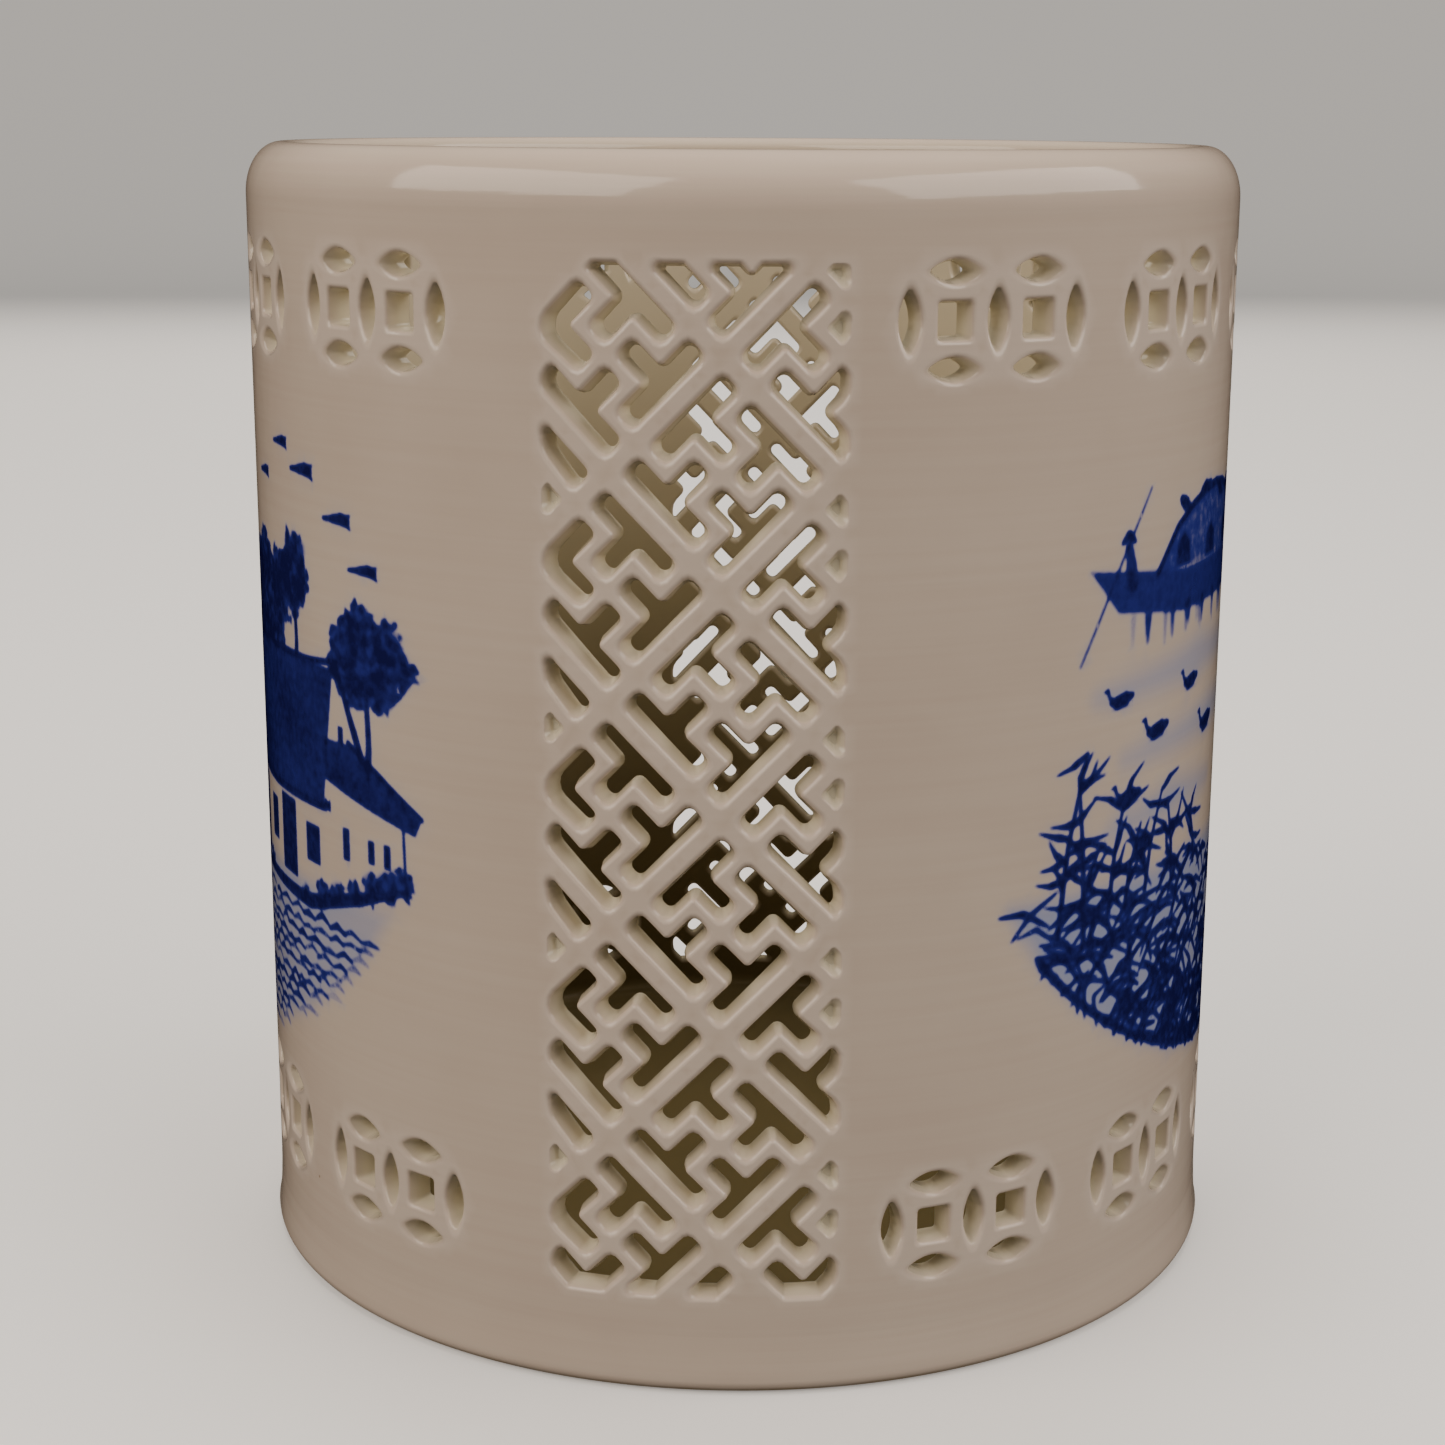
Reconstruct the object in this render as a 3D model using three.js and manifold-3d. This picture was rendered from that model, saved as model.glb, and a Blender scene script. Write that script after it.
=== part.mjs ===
// Brush holder pot: a pierced, glazed porcelain cylinder for standing writing brushes in.
// Millimetres, +Z up, origin on the table under the middle of the foot. The front lattice
// panel faces -Y, and distances round the pot run to the right, seen from outside.

import * as THREE from 'three';
import { mergeVertices } from 'three/addons/utils/BufferGeometryUtils.js';
import Module from 'manifold-3d';

const wasm = await Module();
wasm.setup();

// ---- Driving dimensions ----

// Body
const HEIGHT = 130; // table to the top of the lip
const OUTER_RADIUS = 57.5; // outside of the wall
const WALL = 3.4; // wall thickness
const FOOT_HEIGHT = 2.5; // unglazed foot ring below the floor
const FOOT_WIDTH = 8.5; // radial width of the foot ring
const FOOT_ROUND = 1.5; // rounding of the foot's outer edge
const FOOT_CHAMFER = 0.8; // wiped bevel on the foot's inner edge
const FLOOR_THICKNESS = 4;
const FLARE = 0.5; // how far the wall spreads where it meets the table
const FLARE_HEIGHT = 9; // height over which it spreads

// Lip
const LIP_HEIGHT = 6; // depth of the thickened lip
const LIP_WIDTH = 6; // radial width of the lip
const LIP_OUTER_ROUND = 4.3;
const LIP_INNER_ROUND = 1.6;
const LIP_UNDERCUT = 2.6; // height of the slope from the lip back to the wall inside

// Lattice panels
const PANELS = 2;
const PANEL_WIDTH = 30.2; // pierced width, measured round the wall
const PANEL_RISE = 11.4; // table to the lowest piercing
const PANEL_DROP = 11.1; // highest piercing to the top of the lip
const PANEL_BORDER = 1.6; // plain edge round the piercings
const PANEL_GAP = 0.3; // clearance from the panel's edge to the wall's window
const BAR_WIDTH = 3; // straight diagonal bars
const STRAND_WIDTH = 2.2; // stepped strands between the bars
const SLOT_WIDTH = 1.75; // width of every slot in the lattice
const LATTICE_SHIFT = 2.95; // middle of the panel to the nearest column of bar crossings
const LATTICE_RISE = 5.02; // lowest piercing to the first bar crossing in that column
const SMALLEST_PIERCING = 5; // square millimetres; slots clipped smaller stay shut

// Double-coin piercings, in two rows
const COIN_PITCH = 28; // from one double coin to the next, about
const COIN_LEAD = 16.15; // panel's right edge to the first double coin's middle
const COIN_TRAIL = 22.35; // last double coin's middle to the next panel's left edge
const COIN_RISE = 17.8; // table to the middle of the lower row
const COIN_DROP = 16.4; // middle of the upper row to the top of the lip
const COIN_SPACING = 9.7; // between the two coins' middles
const COIN_SQUARE_WIDTH = 4.1;
const COIN_SQUARE_HEIGHT = 4.4;
const FLAT_LENS = { width: 6.4, height: 2.1 }; // above and below each square
const UPRIGHT_LENS = { width: 1.9, height: 6.9 }; // beside each square
const FLAT_LENS_OFFSET = 4.6; // coin's middle to a flat lens's middle

// Facets
const WALL_FACETS = 48;
const ROUND_STEPS = 3; // steps in a quarter round

// ---- Places worked out from the driving dimensions ----

const FLOOR_TOP = FOOT_HEIGHT + FLOOR_THICKNESS;
const LIP_BOTTOM = HEIGHT - LIP_HEIGHT;
const INNER_RADIUS = OUTER_RADIUS - WALL;
const PANEL_HEIGHT = HEIGHT - PANEL_DROP - PANEL_RISE;
const FIRST_COIN = PANEL_WIDTH / 2 + COIN_LEAD;
const PANEL_SPACING = 2 * Math.PI * OUTER_RADIUS / PANELS;
const COIN_SPAN = PANEL_SPACING - FIRST_COIN - COIN_TRAIL - PANEL_WIDTH / 2;
const COIN_STEPS = Math.round(COIN_SPAN / COIN_PITCH);

const flareAt = (z) => FLARE * Math.max(0, 1 - z / FLARE_HEIGHT) ** 2;

// ---- Solids ----

function toSolid(geometry) {
  const bare = geometry.clone();
  bare.deleteAttribute('normal');
  bare.deleteAttribute('uv');
  const merged = mergeVertices(bare);
  return new wasm.Manifold(new wasm.Mesh({
    numProp: 3,
    vertProperties: new Float32Array(merged.attributes.position.array),
    triVerts: new Uint32Array(merged.index.array),
  }));
}

function toGeometry(solid) {
  const { vertProperties, triVerts } = solid.getMesh();
  const geometry = new THREE.BufferGeometry();
  geometry.setAttribute('position', new THREE.BufferAttribute(vertProperties, 3));
  geometry.setIndex(new THREE.BufferAttribute(triVerts, 1));
  return geometry;
}

function joinAll(solids) {
  let rest = solids;
  while (rest.length > 1) {
    const pairs = [];
    for (let i = 0; i < rest.length; i += 2) {
      pairs.push(i + 1 < rest.length ? rest[i].add(rest[i + 1]) : rest[i]);
    }
    rest = pairs;
  }
  return rest[0];
}

// A turned piece: the profile's points are [radius, height], up the outside first.
function turned(profile) {
  const points = profile.map(([radius, z]) => new THREE.Vector2(radius, z));
  return new THREE.LatheGeometry(points, WALL_FACETS).rotateX(Math.PI / 2);
}

function quarterRound(centreRadius, centreZ, round, startAngle) {
  return Array.from({ length: ROUND_STEPS + 1 }, (_, i) => {
    const angle = startAngle + (i / ROUND_STEPS) * Math.PI / 2;
    return [centreRadius + round * Math.cos(angle), centreZ + round * Math.sin(angle)];
  });
}

// A flat hole: its outline's points are [distance round the wall, height].
function flatHole(outline) {
  const shape = new THREE.Shape(outline.map(([along, z]) => new THREE.Vector2(along, z)));
  return toSolid(new THREE.ExtrudeGeometry(shape, { depth: 1, bevelEnabled: false }));
}

// Bends a flat hole round the pot, so that it passes through the wall along the radii at its
// corners. The start is the angle of the wall from which its distance is measured.
function piercing(hole, start = 0) {
  const overrun = 2;
  const geometry = toGeometry(hole);
  const position = geometry.attributes.position;
  for (let i = 0; i < position.count; i += 1) {
    const angle = start + position.getX(i) / OUTER_RADIUS;
    const radius = INNER_RADIUS - overrun + position.getZ(i) * (WALL + 2 * overrun);
    position.setXYZ(i, radius * Math.sin(angle), -radius * Math.cos(angle), position.getY(i));
  }
  return toSolid(geometry);
}

// A block that takes in the whole wall between two radial planes and two heights.
function wallSector(start, width, bottom, top) {
  const overrun = 8;
  const middle = start - Math.PI / 2;
  const half = width / 2 / OUTER_RADIUS;
  const shape = new THREE.Shape();
  shape.absarc(0, 0, OUTER_RADIUS + overrun, middle - half, middle + half, false);
  shape.absarc(0, 0, INNER_RADIUS - overrun, middle + half, middle - half, true);
  const settings = { depth: top - bottom, bevelEnabled: false, curveSegments: ROUND_STEPS };
  return toSolid(new THREE.ExtrudeGeometry(shape, settings).translate(0, 0, bottom));
}

// ---- Lattice: a fret of diagonal bars, with stepped strands that turn in each cell ----

// Each square cell between the bars has four T-shaped slots, one a quarter turn from the
// next. Across is the cell's up-right diagonal, and up is its up-left diagonal.
const TEE = (() => {
  const strand = STRAND_WIDTH / 2;
  const stem = strand + SLOT_WIDTH;
  const shoulder = stem + STRAND_WIDTH;
  const bar = shoulder + SLOT_WIDTH;
  return [
    [-stem, bar], [-stem, shoulder], [strand, shoulder], [strand, strand],
    [stem, strand], [stem, shoulder], [bar, shoulder], [bar, bar],
  ];
})();
const LATTICE_PITCH = BAR_WIDTH + 4 * SLOT_WIDTH + 3 * STRAND_WIDTH;
const HALF_DIAGONAL = LATTICE_PITCH / Math.SQRT2;

function latticeHoles() {
  const depth = 1;
  const window = toSolid(new THREE.BoxGeometry(PANEL_WIDTH, PANEL_HEIGHT, 2 * depth)
    .translate(0, PANEL_RISE + PANEL_HEIGHT / 2, depth / 2));
  const columns = Math.ceil((PANEL_WIDTH / 2 + LATTICE_PITCH) / HALF_DIAGONAL);
  const rows = Math.ceil((PANEL_HEIGHT + LATTICE_PITCH) / HALF_DIAGONAL);
  const holes = [];
  for (let column = -columns; column <= columns; column += 1) {
    for (let row = -2; row <= rows; row += 1) {
      if ((column + row) % 2 === 0) continue; // bars cross here
      const hand = column % 2 === 0 ? 1 : -1; // neighbouring columns are mirror images
      const cellAlong = LATTICE_SHIFT + column * HALF_DIAGONAL;
      const cellZ = PANEL_RISE + LATTICE_RISE + row * HALF_DIAGONAL;
      for (let turn = 0; turn < 4; turn += 1) {
        const cos = Math.round(Math.cos(turn * Math.PI / 2));
        const sin = Math.round(Math.sin(turn * Math.PI / 2));
        const outline = TEE.map(([across, up]) => {
          const u = hand * (across * cos + up * sin);
          const v = up * cos - across * sin;
          return [cellAlong + (u - v) / Math.SQRT2, cellZ + (u + v) / Math.SQRT2];
        });
        const clipped = flatHole(outline).intersect(window);
        if (clipped.volume() > SMALLEST_PIERCING * depth) holes.push(clipped);
      }
    }
  }
  return holes;
}

// ---- Double coins: two linked old coins with square middles ----

// A lens with two pointed ends, longer than it is thick.
function lens(along, z, width, height) {
  const stations = [-1, -0.4, 0.4, 1];
  const bulge = (t) => (1 - t * t) / 2;
  const upright = height > width;
  const side = (sign) => stations.map((t) => (upright
    ? [along + sign * bulge(t) * width, z + t * height / 2]
    : [along + t * width / 2, z + sign * bulge(t) * height]));
  return [...side(-1), ...side(1).slice(1, -1).reverse()];
}

function doubleCoin(along, z) {
  const outlines = [];
  for (const side of [-1, 1]) {
    const middle = along + side * COIN_SPACING / 2;
    const [halfWidth, halfHeight] = [COIN_SQUARE_WIDTH / 2, COIN_SQUARE_HEIGHT / 2];
    outlines.push([
      [middle - halfWidth, z - halfHeight], [middle + halfWidth, z - halfHeight],
      [middle + halfWidth, z + halfHeight], [middle - halfWidth, z + halfHeight],
    ]);
    for (const level of [-1, 1]) {
      const lensZ = z + level * FLAT_LENS_OFFSET;
      outlines.push(lens(middle, lensZ, FLAT_LENS.width, FLAT_LENS.height));
    }
  }
  for (const step of [-1, 0, 1]) {
    outlines.push(lens(along + step * COIN_SPACING, z, UPRIGHT_LENS.width, UPRIGHT_LENS.height));
  }
  return outlines.map(flatHole);
}

function coinHoles() {
  const holes = [];
  for (let step = 0; step <= COIN_STEPS; step += 1) {
    const along = FIRST_COIN + (COIN_STEPS > 0 ? step * COIN_SPAN / COIN_STEPS : 0);
    for (const z of [COIN_RISE, HEIGHT - COIN_DROP]) holes.push(...doubleCoin(along, z));
  }
  return holes;
}

// ---- Sub-parts ----

const pot = new THREE.Group();
pot.name = 'brush_holder_pot';

const glaze = new THREE.MeshStandardMaterial({ color: 0xd9cdbf, roughness: 0.18 });
const pierced = new THREE.MeshStandardMaterial({ color: 0xe0d6c6, roughness: 0.2 });
const biscuit = new THREE.MeshStandardMaterial({ color: 0xb98a5e, roughness: 0.85 });

function addPiece(name, geometry, material) {
  const mesh = new THREE.Mesh(geometry, material);
  mesh.name = name;
  pot.add(mesh);
}

// Foot ring: stands on the table, and is left bare of glaze.
function footRing() {
  const radius = OUTER_RADIUS + flareAt(0);
  const inner = radius - FOOT_WIDTH;
  return turned([
    [inner, FOOT_CHAMFER],
    [inner + FOOT_CHAMFER, 0],
    ...quarterRound(radius - FOOT_ROUND, FOOT_ROUND, FOOT_ROUND, -Math.PI / 2),
    [OUTER_RADIUS + flareAt(FOOT_HEIGHT), FOOT_HEIGHT],
    [inner, FOOT_HEIGHT],
    [inner, FOOT_CHAMFER],
  ]);
}

// Floor disc: lies on the foot ring and carries the wall.
function floorDisc() {
  return turned([
    [0, FOOT_HEIGHT],
    [OUTER_RADIUS + flareAt(FOOT_HEIGHT), FOOT_HEIGHT],
    [OUTER_RADIUS + flareAt(FLOOR_TOP), FLOOR_TOP],
    [0, FLOOR_TOP],
  ]);
}

// The wall before it is pierced, from the floor to the lip.
function plainWall() {
  return toSolid(turned([
    [OUTER_RADIUS + flareAt(FLOOR_TOP), FLOOR_TOP],
    [OUTER_RADIUS, Math.max(FLARE_HEIGHT, FLOOR_TOP + FOOT_ROUND)],
    [OUTER_RADIUS, LIP_BOTTOM],
    [INNER_RADIUS, LIP_BOTTOM],
    [INNER_RADIUS, FLOOR_TOP],
    [OUTER_RADIUS + flareAt(FLOOR_TOP), FLOOR_TOP],
  ]));
}

// Rim lip: the thickened, rounded mouth on top of the wall.
function rimLip() {
  const mouth = OUTER_RADIUS - LIP_WIDTH;
  return turned([
    [OUTER_RADIUS, LIP_BOTTOM],
    ...quarterRound(OUTER_RADIUS - LIP_OUTER_ROUND, HEIGHT - LIP_OUTER_ROUND, LIP_OUTER_ROUND, 0),
    ...quarterRound(mouth + LIP_INNER_ROUND, HEIGHT - LIP_INNER_ROUND, LIP_INNER_ROUND,
      Math.PI / 2),
    [mouth, LIP_BOTTOM + LIP_UNDERCUT],
    [INNER_RADIUS, LIP_BOTTOM],
    [OUTER_RADIUS, LIP_BOTTOM],
  ]);
}

const PANEL_NAMES = ['front', 'back'];
const wall = plainWall();
const slots = latticeHoles();
const coins = coinHoles();
const frameWidth = PANEL_WIDTH + 2 * PANEL_BORDER;
const frameBottom = PANEL_RISE - PANEL_BORDER;
const frameTop = PANEL_RISE + PANEL_HEIGHT + PANEL_BORDER;
const cuts = [];

for (let panel = 0; panel < PANELS; panel += 1) {
  const start = panel * 2 * Math.PI / PANELS;
  const block = wallSector(start, frameWidth, frameBottom, frameTop).intersect(wall);
  const fret = block.subtract(joinAll(slots.map((hole) => piercing(hole, start))));
  addPiece(`lattice_panel_${PANEL_NAMES[panel]}`, toGeometry(fret), pierced);

  cuts.push(wallSector(start, frameWidth + 2 * PANEL_GAP, frameBottom - PANEL_GAP,
    frameTop + PANEL_GAP));
  cuts.push(...coins.map((hole) => piercing(hole, start)));
}

addPiece('wall_shell', toGeometry(wall.subtract(joinAll(cuts))), glaze);
addPiece('rim_lip', rimLip(), glaze);
addPiece('floor_disc', floorDisc(), glaze);
addPiece('foot_ring', footRing(), biscuit);

export default pot;
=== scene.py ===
"""Brush holder pot: ivory porcelain, pierced with a diagonal fret and double coins, and painted
in cobalt blue under a clear glaze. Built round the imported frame; lengths in millimetres are
turned to metres where a mesh is made."""

import math

import bmesh
import bpy
import numpy as np
from mathutils import Matrix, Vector
from mathutils.geometry import delaunay_2d_cdt


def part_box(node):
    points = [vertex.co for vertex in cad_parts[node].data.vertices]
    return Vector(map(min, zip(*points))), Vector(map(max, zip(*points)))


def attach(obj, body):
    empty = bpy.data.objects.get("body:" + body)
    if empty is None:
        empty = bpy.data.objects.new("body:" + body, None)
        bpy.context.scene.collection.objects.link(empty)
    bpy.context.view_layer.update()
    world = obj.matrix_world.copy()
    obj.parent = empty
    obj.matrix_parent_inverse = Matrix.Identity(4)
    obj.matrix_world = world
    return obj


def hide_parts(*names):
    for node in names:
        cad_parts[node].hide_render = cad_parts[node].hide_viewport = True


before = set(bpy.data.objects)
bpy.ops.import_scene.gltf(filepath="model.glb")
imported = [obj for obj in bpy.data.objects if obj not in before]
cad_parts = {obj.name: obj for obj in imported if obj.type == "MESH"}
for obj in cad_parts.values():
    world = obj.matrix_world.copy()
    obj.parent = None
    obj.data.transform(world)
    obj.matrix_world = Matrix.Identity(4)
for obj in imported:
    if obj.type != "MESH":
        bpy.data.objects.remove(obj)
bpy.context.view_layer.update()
scene = bpy.context.scene

# ---- Camera ----
# Stands a little right of the front lattice panel and looks down on the pot, close enough for
# the perspective to narrow its foot.
CAMERA_DISTANCE = 0.3093  # from the pot's axis, metres
CAMERA_HEIGHT = 0.1337
CAMERA_AROUND = math.radians(4.83)
CAMERA_DOWN = math.radians(13.372)
CAMERA_ROLL = math.radians(0.315)


def linked(name, data):
    """A new object in the scene."""
    made = bpy.data.objects.new(name, data)
    scene.collection.objects.link(made)
    return made


camera_data = bpy.data.cameras.new("camera")
camera_data.lens = 64.2
camera_data.sensor_width = 36.0
camera_data.shift_x = -0.0122
camera_data.clip_start = 0.01
camera = linked("camera", camera_data)
camera.matrix_world = (
    Matrix.Translation((
        CAMERA_DISTANCE * math.sin(CAMERA_AROUND),
        -CAMERA_DISTANCE * math.cos(CAMERA_AROUND),
        CAMERA_HEIGHT,
    ))
    @ Matrix.Rotation(CAMERA_AROUND, 4, "Z")
    @ Matrix.Rotation(math.pi / 2 - CAMERA_DOWN, 4, "X")
    @ Matrix.Rotation(CAMERA_ROLL, 4, "Z")
)
scene.camera = camera


# ---- Studio ----
# A pale seamless floor that curves up all round the pot, a wide soft light high on each side for
# the streaks under the lip, and weaker ones above and behind. The floor neither mirrors in the
# glaze nor lights the clay, and the room doesn't mirror, so the cobalt and the edges stay deep.
def linear(colour):
    """An sRGB hex colour, such as "d9cdbf", as linear RGBA."""
    channels = [int(colour[i:i + 2], 16) / 255 for i in (0, 2, 4)]
    return (*[c / 12.92 if c <= 0.04045 else ((c + 0.055) / 1.055) ** 2.4 for c in channels], 1)


def node(tree, kind, settings=None, inputs=None):
    """Adds a node. An input is a value, or an output socket to link from."""
    made = tree.nodes.new(kind)
    for name, value in (settings or {}).items():
        setattr(made, name, value)
    for key, value in (inputs or {}).items():
        if isinstance(value, bpy.types.NodeSocket):
            tree.links.new(value, made.inputs[key])
        else:
            made.inputs[key].default_value = value
    return made


def new_material(name):
    """A material, its tree, its surface and the place of each point on the object."""
    material = bpy.data.materials.new(name)
    material.use_nodes = True
    tree = material.node_tree
    place = node(tree, "ShaderNodeTexCoord").outputs["Object"]
    return material, tree, tree.nodes["Principled BSDF"], place


def noise(tree, place, scale, detail=2.0):
    """Cloudy noise with so many patches to the metre."""
    return node(tree, "ShaderNodeTexNoise", inputs={
        "Vector": place, "Scale": scale, "Detail": detail}).outputs["Fac"]


def maths(tree, operation, *values, clamp=False):
    settings = {"operation": operation, "use_clamp": clamp}
    return node(tree, "ShaderNodeMath", settings, dict(enumerate(values))).outputs[0]


def mix(tree, factor, first, second, blend="MIX"):
    """Two colours mixed by a factor."""
    return node(tree, "ShaderNodeMix", {"data_type": "RGBA", "blend_type": blend}, {
        0: factor, 6: first, 7: second}).outputs[2]


def ramp(tree, factor, *stops):
    """A factor turned into colours: each stop is a place and a hex colour."""
    made = node(tree, "ShaderNodeValToRGB", inputs={"Fac": factor})
    elements = made.color_ramp.elements
    while len(elements) < len(stops):
        elements.new(0.5)
    for element, (at, colour) in zip(elements, stops):
        element.position = at
        element.color = linear(colour)
    return made.outputs["Color"]


def floor_paper():
    """Matt white backdrop paper: a faint tooth keeps it from looking like plastic."""
    material, tree, shader, place = new_material("matt_backdrop_paper")
    bump = node(tree, "ShaderNodeBump", inputs={
        "Height": noise(tree, place, 900.0), "Strength": 0.05, "Distance": 0.0002})
    shader.inputs["Base Color"].default_value = linear("e6e4e0")
    shader.inputs["Roughness"].default_value = 0.75
    shader.inputs["Emission Color"].default_value = linear("e9e7e3")
    shader.inputs["Emission Strength"].default_value = 0.26
    tree.links.new(bump.outputs["Normal"], shader.inputs["Normal"])
    return material


def backdrop():
    """A round sweep: level paper that curves up into a low wall on every side."""
    reach, bend, top = 2.2, 0.5, 1.1
    profile = [(0.0, 0.0), (0.3, 0.0), (reach - bend, 0.0)]
    for i in range(1, 13):
        turn = i / 12 * math.pi / 2
        profile.append((reach - bend + bend * math.sin(turn), bend - bend * math.cos(turn)))
    profile.append((reach, top))
    mesh = bpy.data.meshes.new("backdrop")
    shape = bmesh.new()
    path = [shape.verts.new((radius, 0, z)) for radius, z in profile]
    for start, end in zip(path, path[1:]):
        shape.edges.new((start, end))
    bmesh.ops.spin(shape, geom=shape.verts[:] + shape.edges[:], cent=(0, 0, 0), axis=(0, 0, 1),
                   angle=2 * math.pi, steps=72)
    bmesh.ops.remove_doubles(shape, verts=shape.verts, dist=1e-5)
    bmesh.ops.recalc_face_normals(shape, faces=shape.faces)
    shape.to_mesh(mesh)
    shape.free()
    mesh.shade_smooth()
    mesh.materials.append(floor_paper())
    sweep = linked("backdrop", mesh)
    sweep.visible_glossy = False
    sweep.visible_diffuse = False
    return sweep


backdrop()


def softbox(name, place, aim, width, height, power, colour):
    light = bpy.data.lights.new(name, "AREA")
    light.shape = "RECTANGLE"
    light.size, light.size_y = width, height
    light.energy = power
    light.color = linear(colour)[:3]
    lamp = linked(name, light)
    lamp.location = place
    direction = lamp.location - type(lamp.location)(aim)
    lamp.rotation_euler = direction.to_track_quat("Z", "Y").to_euler()
    return lamp


softbox("left_softbox", (-0.8, -0.65, 0.8), (0, 0, 0.07), 1.35, 0.75, 12.2, "fff1e4")
softbox("right_softbox", (0.98, -0.3, 0.76), (0, 0, 0.07), 1.5, 0.7, 11.8, "fff4ec")
overhead = softbox("top_softbox", (0.0, 0.1, 1.1), (0, 0, 0.1), 0.6, 0.5, 5.2, "fffaf4")
overhead.visible_glossy = False  # it lights the inside without a glint on the lip
behind = softbox("back_fill", (-0.2, 1.15, 0.75), (0, 0, 0.06), 1.4, 1.0, 9.0, "fff6ee")
behind.visible_glossy = False

world = bpy.data.worlds.new("dim_room")
world.use_nodes = True
room = world.node_tree.nodes["Background"]
room.inputs["Color"].default_value = linear("d8d3cc")
room.inputs["Strength"].default_value = 0.24
world.cycles_visibility.glossy = False
scene.world = world

# ---- Wall ----
# A cast porcelain cylinder in two painted halves, pierced near its top and foot with double
# coins and cut away for the lattice panels. It is worked out flat, as [distance round the
# wall, depth into it, height] in millimetres, and then wrapped round the pot.
MM = 0.001
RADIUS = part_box("rim_lip")[1].x / MM
WALL_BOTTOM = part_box("wall_shell")[0].z / MM
WALL_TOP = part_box("wall_shell")[1].z / MM
WALL = 3.4
FLARE, FLARE_HEIGHT = 0.5, 9.0
HALF_ROUND = math.pi * RADIUS  # from the middle of one lattice panel to the other
JOINT = 0.15  # half of the clearance that the lattice panels are packed with
WINDOW_HALF = RADIUS * math.asin(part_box("lattice_panel_front")[1].x / MM / RADIUS) + JOINT
WINDOW_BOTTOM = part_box("lattice_panel_front")[0].z / MM - JOINT
WINDOW_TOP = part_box("lattice_panel_front")[1].z / MM + JOINT
SEAM_STEP = HALF_ROUND / 180  # pieces that meet on a level circle share a point each degree
WELD = 0.004  # points nearer than this become one

GENTLE_TURN, GENTLE_RADIUS = math.radians(60), 2.2
SHARP_TURN, CORNER_REACH = 1.2, 0.36  # past this turn, a lip is this share wider at the corner
SCORED_RADIUS = 0.3  # rounding of a crisp corner
SCORED_REACH = 0.5  # how far such a corner's lip goes towards a mitred point


def rounded(corners, radius_out, radius_in, lip, step=1.0, scored=None):
    """A hole's outline, anticlockwise, with its corners rounded: radius_out where the hole
    is convex, more where it hardly turns, radius_in where the clay juts in, and next to
    nothing where it turns by more than scored gives for that corner. Gives points and
    directions into the clay. These are shorter where the clay is too sharp to take a lip of
    that radius, and longer at the hole's corners, which are squarer at the surface."""
    corners = np.asarray(corners, float)
    count = len(corners)
    points, away = [], []
    before = np.roll(corners, 1, 0)
    after = np.roll(corners, -1, 0)
    length_in = np.linalg.norm(corners - before, axis=1)
    length_out = np.linalg.norm(after - corners, axis=1)
    start, end = [None] * count, [None] * count
    for i in range(count):
        along = (corners[i] - before[i]) / length_in[i]
        onward = (after[i] - corners[i]) / length_out[i]
        turn = math.atan2(along[0] * onward[1] - along[1] * onward[0], along @ onward)
        wanted = radius_out if turn > 0 else radius_in
        if 0 < turn < GENTLE_TURN:
            wanted = GENTLE_RADIUS
        crisp = scored is not None and turn > scored[i]
        if crisp:
            wanted = SCORED_RADIUS
        reach = min(wanted * abs(math.tan(turn / 2)), 0.49 * length_in[i], 0.49 * length_out[i])
        radius = reach / max(abs(math.tan(turn / 2)), 1e-6)
        side = math.copysign(1.0, turn)
        share = 1.0 if turn > 0 else min(1.0, 0.95 * radius / lip)
        centre = corners[i] - along * reach + side * radius * np.array([-along[1], along[0]])
        pieces = max(1, round(abs(turn) / math.radians(20)))
        reach_out = CORNER_REACH if turn > SHARP_TURN else 0.0
        if crisp:
            reach_out = SCORED_REACH * (1 / math.cos(turn / 2) - 1)
        arc, normals = [], []
        for j in range(pieces + 1):
            angle = turn * j / pieces
            out = np.array([along[1], -along[0]])
            out = np.array([
                out[0] * math.cos(angle) - out[1] * math.sin(angle),
                out[0] * math.sin(angle) + out[1] * math.cos(angle),
            ])
            arc.append(centre + side * radius * out)
            square = reach_out * math.sin(math.pi * j / pieces) ** 2
            normals.append(out * share * (1 + square))
        start[i], end[i] = (arc[0], normals[0]), (arc[-1], normals[-1] / share)
        points.append(arc)
        away.append(normals)
    loop, directions = [], []
    for i in range(count):
        loop += points[i]
        directions += away[i]
        gap = start[(i + 1) % count][0] - end[i][0]
        distance = np.linalg.norm(gap)
        pieces = max(1, round(distance / step))
        for j in range(1, pieces):
            loop.append(end[i][0] + gap * j / pieces)
            directions.append(end[i][1])
    loop, directions = np.array(loop), np.array(directions)
    keep = np.linalg.norm(loop - np.roll(loop, -1, 0), axis=1) > 1e-3
    return loop[keep], directions[keep]


def carved_edge(radius, slope, slope_depth, steps=3):
    """Rings from the wall's face into a slot, as [offset into the clay, depth, tilt of the
    surface, pooled glaze]: a rounded brow, where the glaze runs thin and the pool is negative,
    then a side that slopes in to the slot's width. The negative pool paints the brow whiter,
    in part a painted highlight, and the positive pool paints the side lighter, a painted glow."""
    tilt = math.pi / 2 - math.atan2(slope, slope_depth)
    rings = []
    for i in range(steps + 1):
        share = i / steps
        turn = tilt * share
        pool = 0.4 * share ** 2 - 0.45 * (1 - share)
        rings.append((slope + radius * (math.sin(tilt) - math.sin(turn)),
                      radius * (1 - math.cos(turn)), turn, pool))
    brow = rings[-1][1]
    rings.append((slope / 2, (brow + slope_depth) / 2, tilt, 0.7))
    rings.append((0.0, slope_depth, (tilt + math.pi / 2) / 2, 1.0))
    return rings


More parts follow.
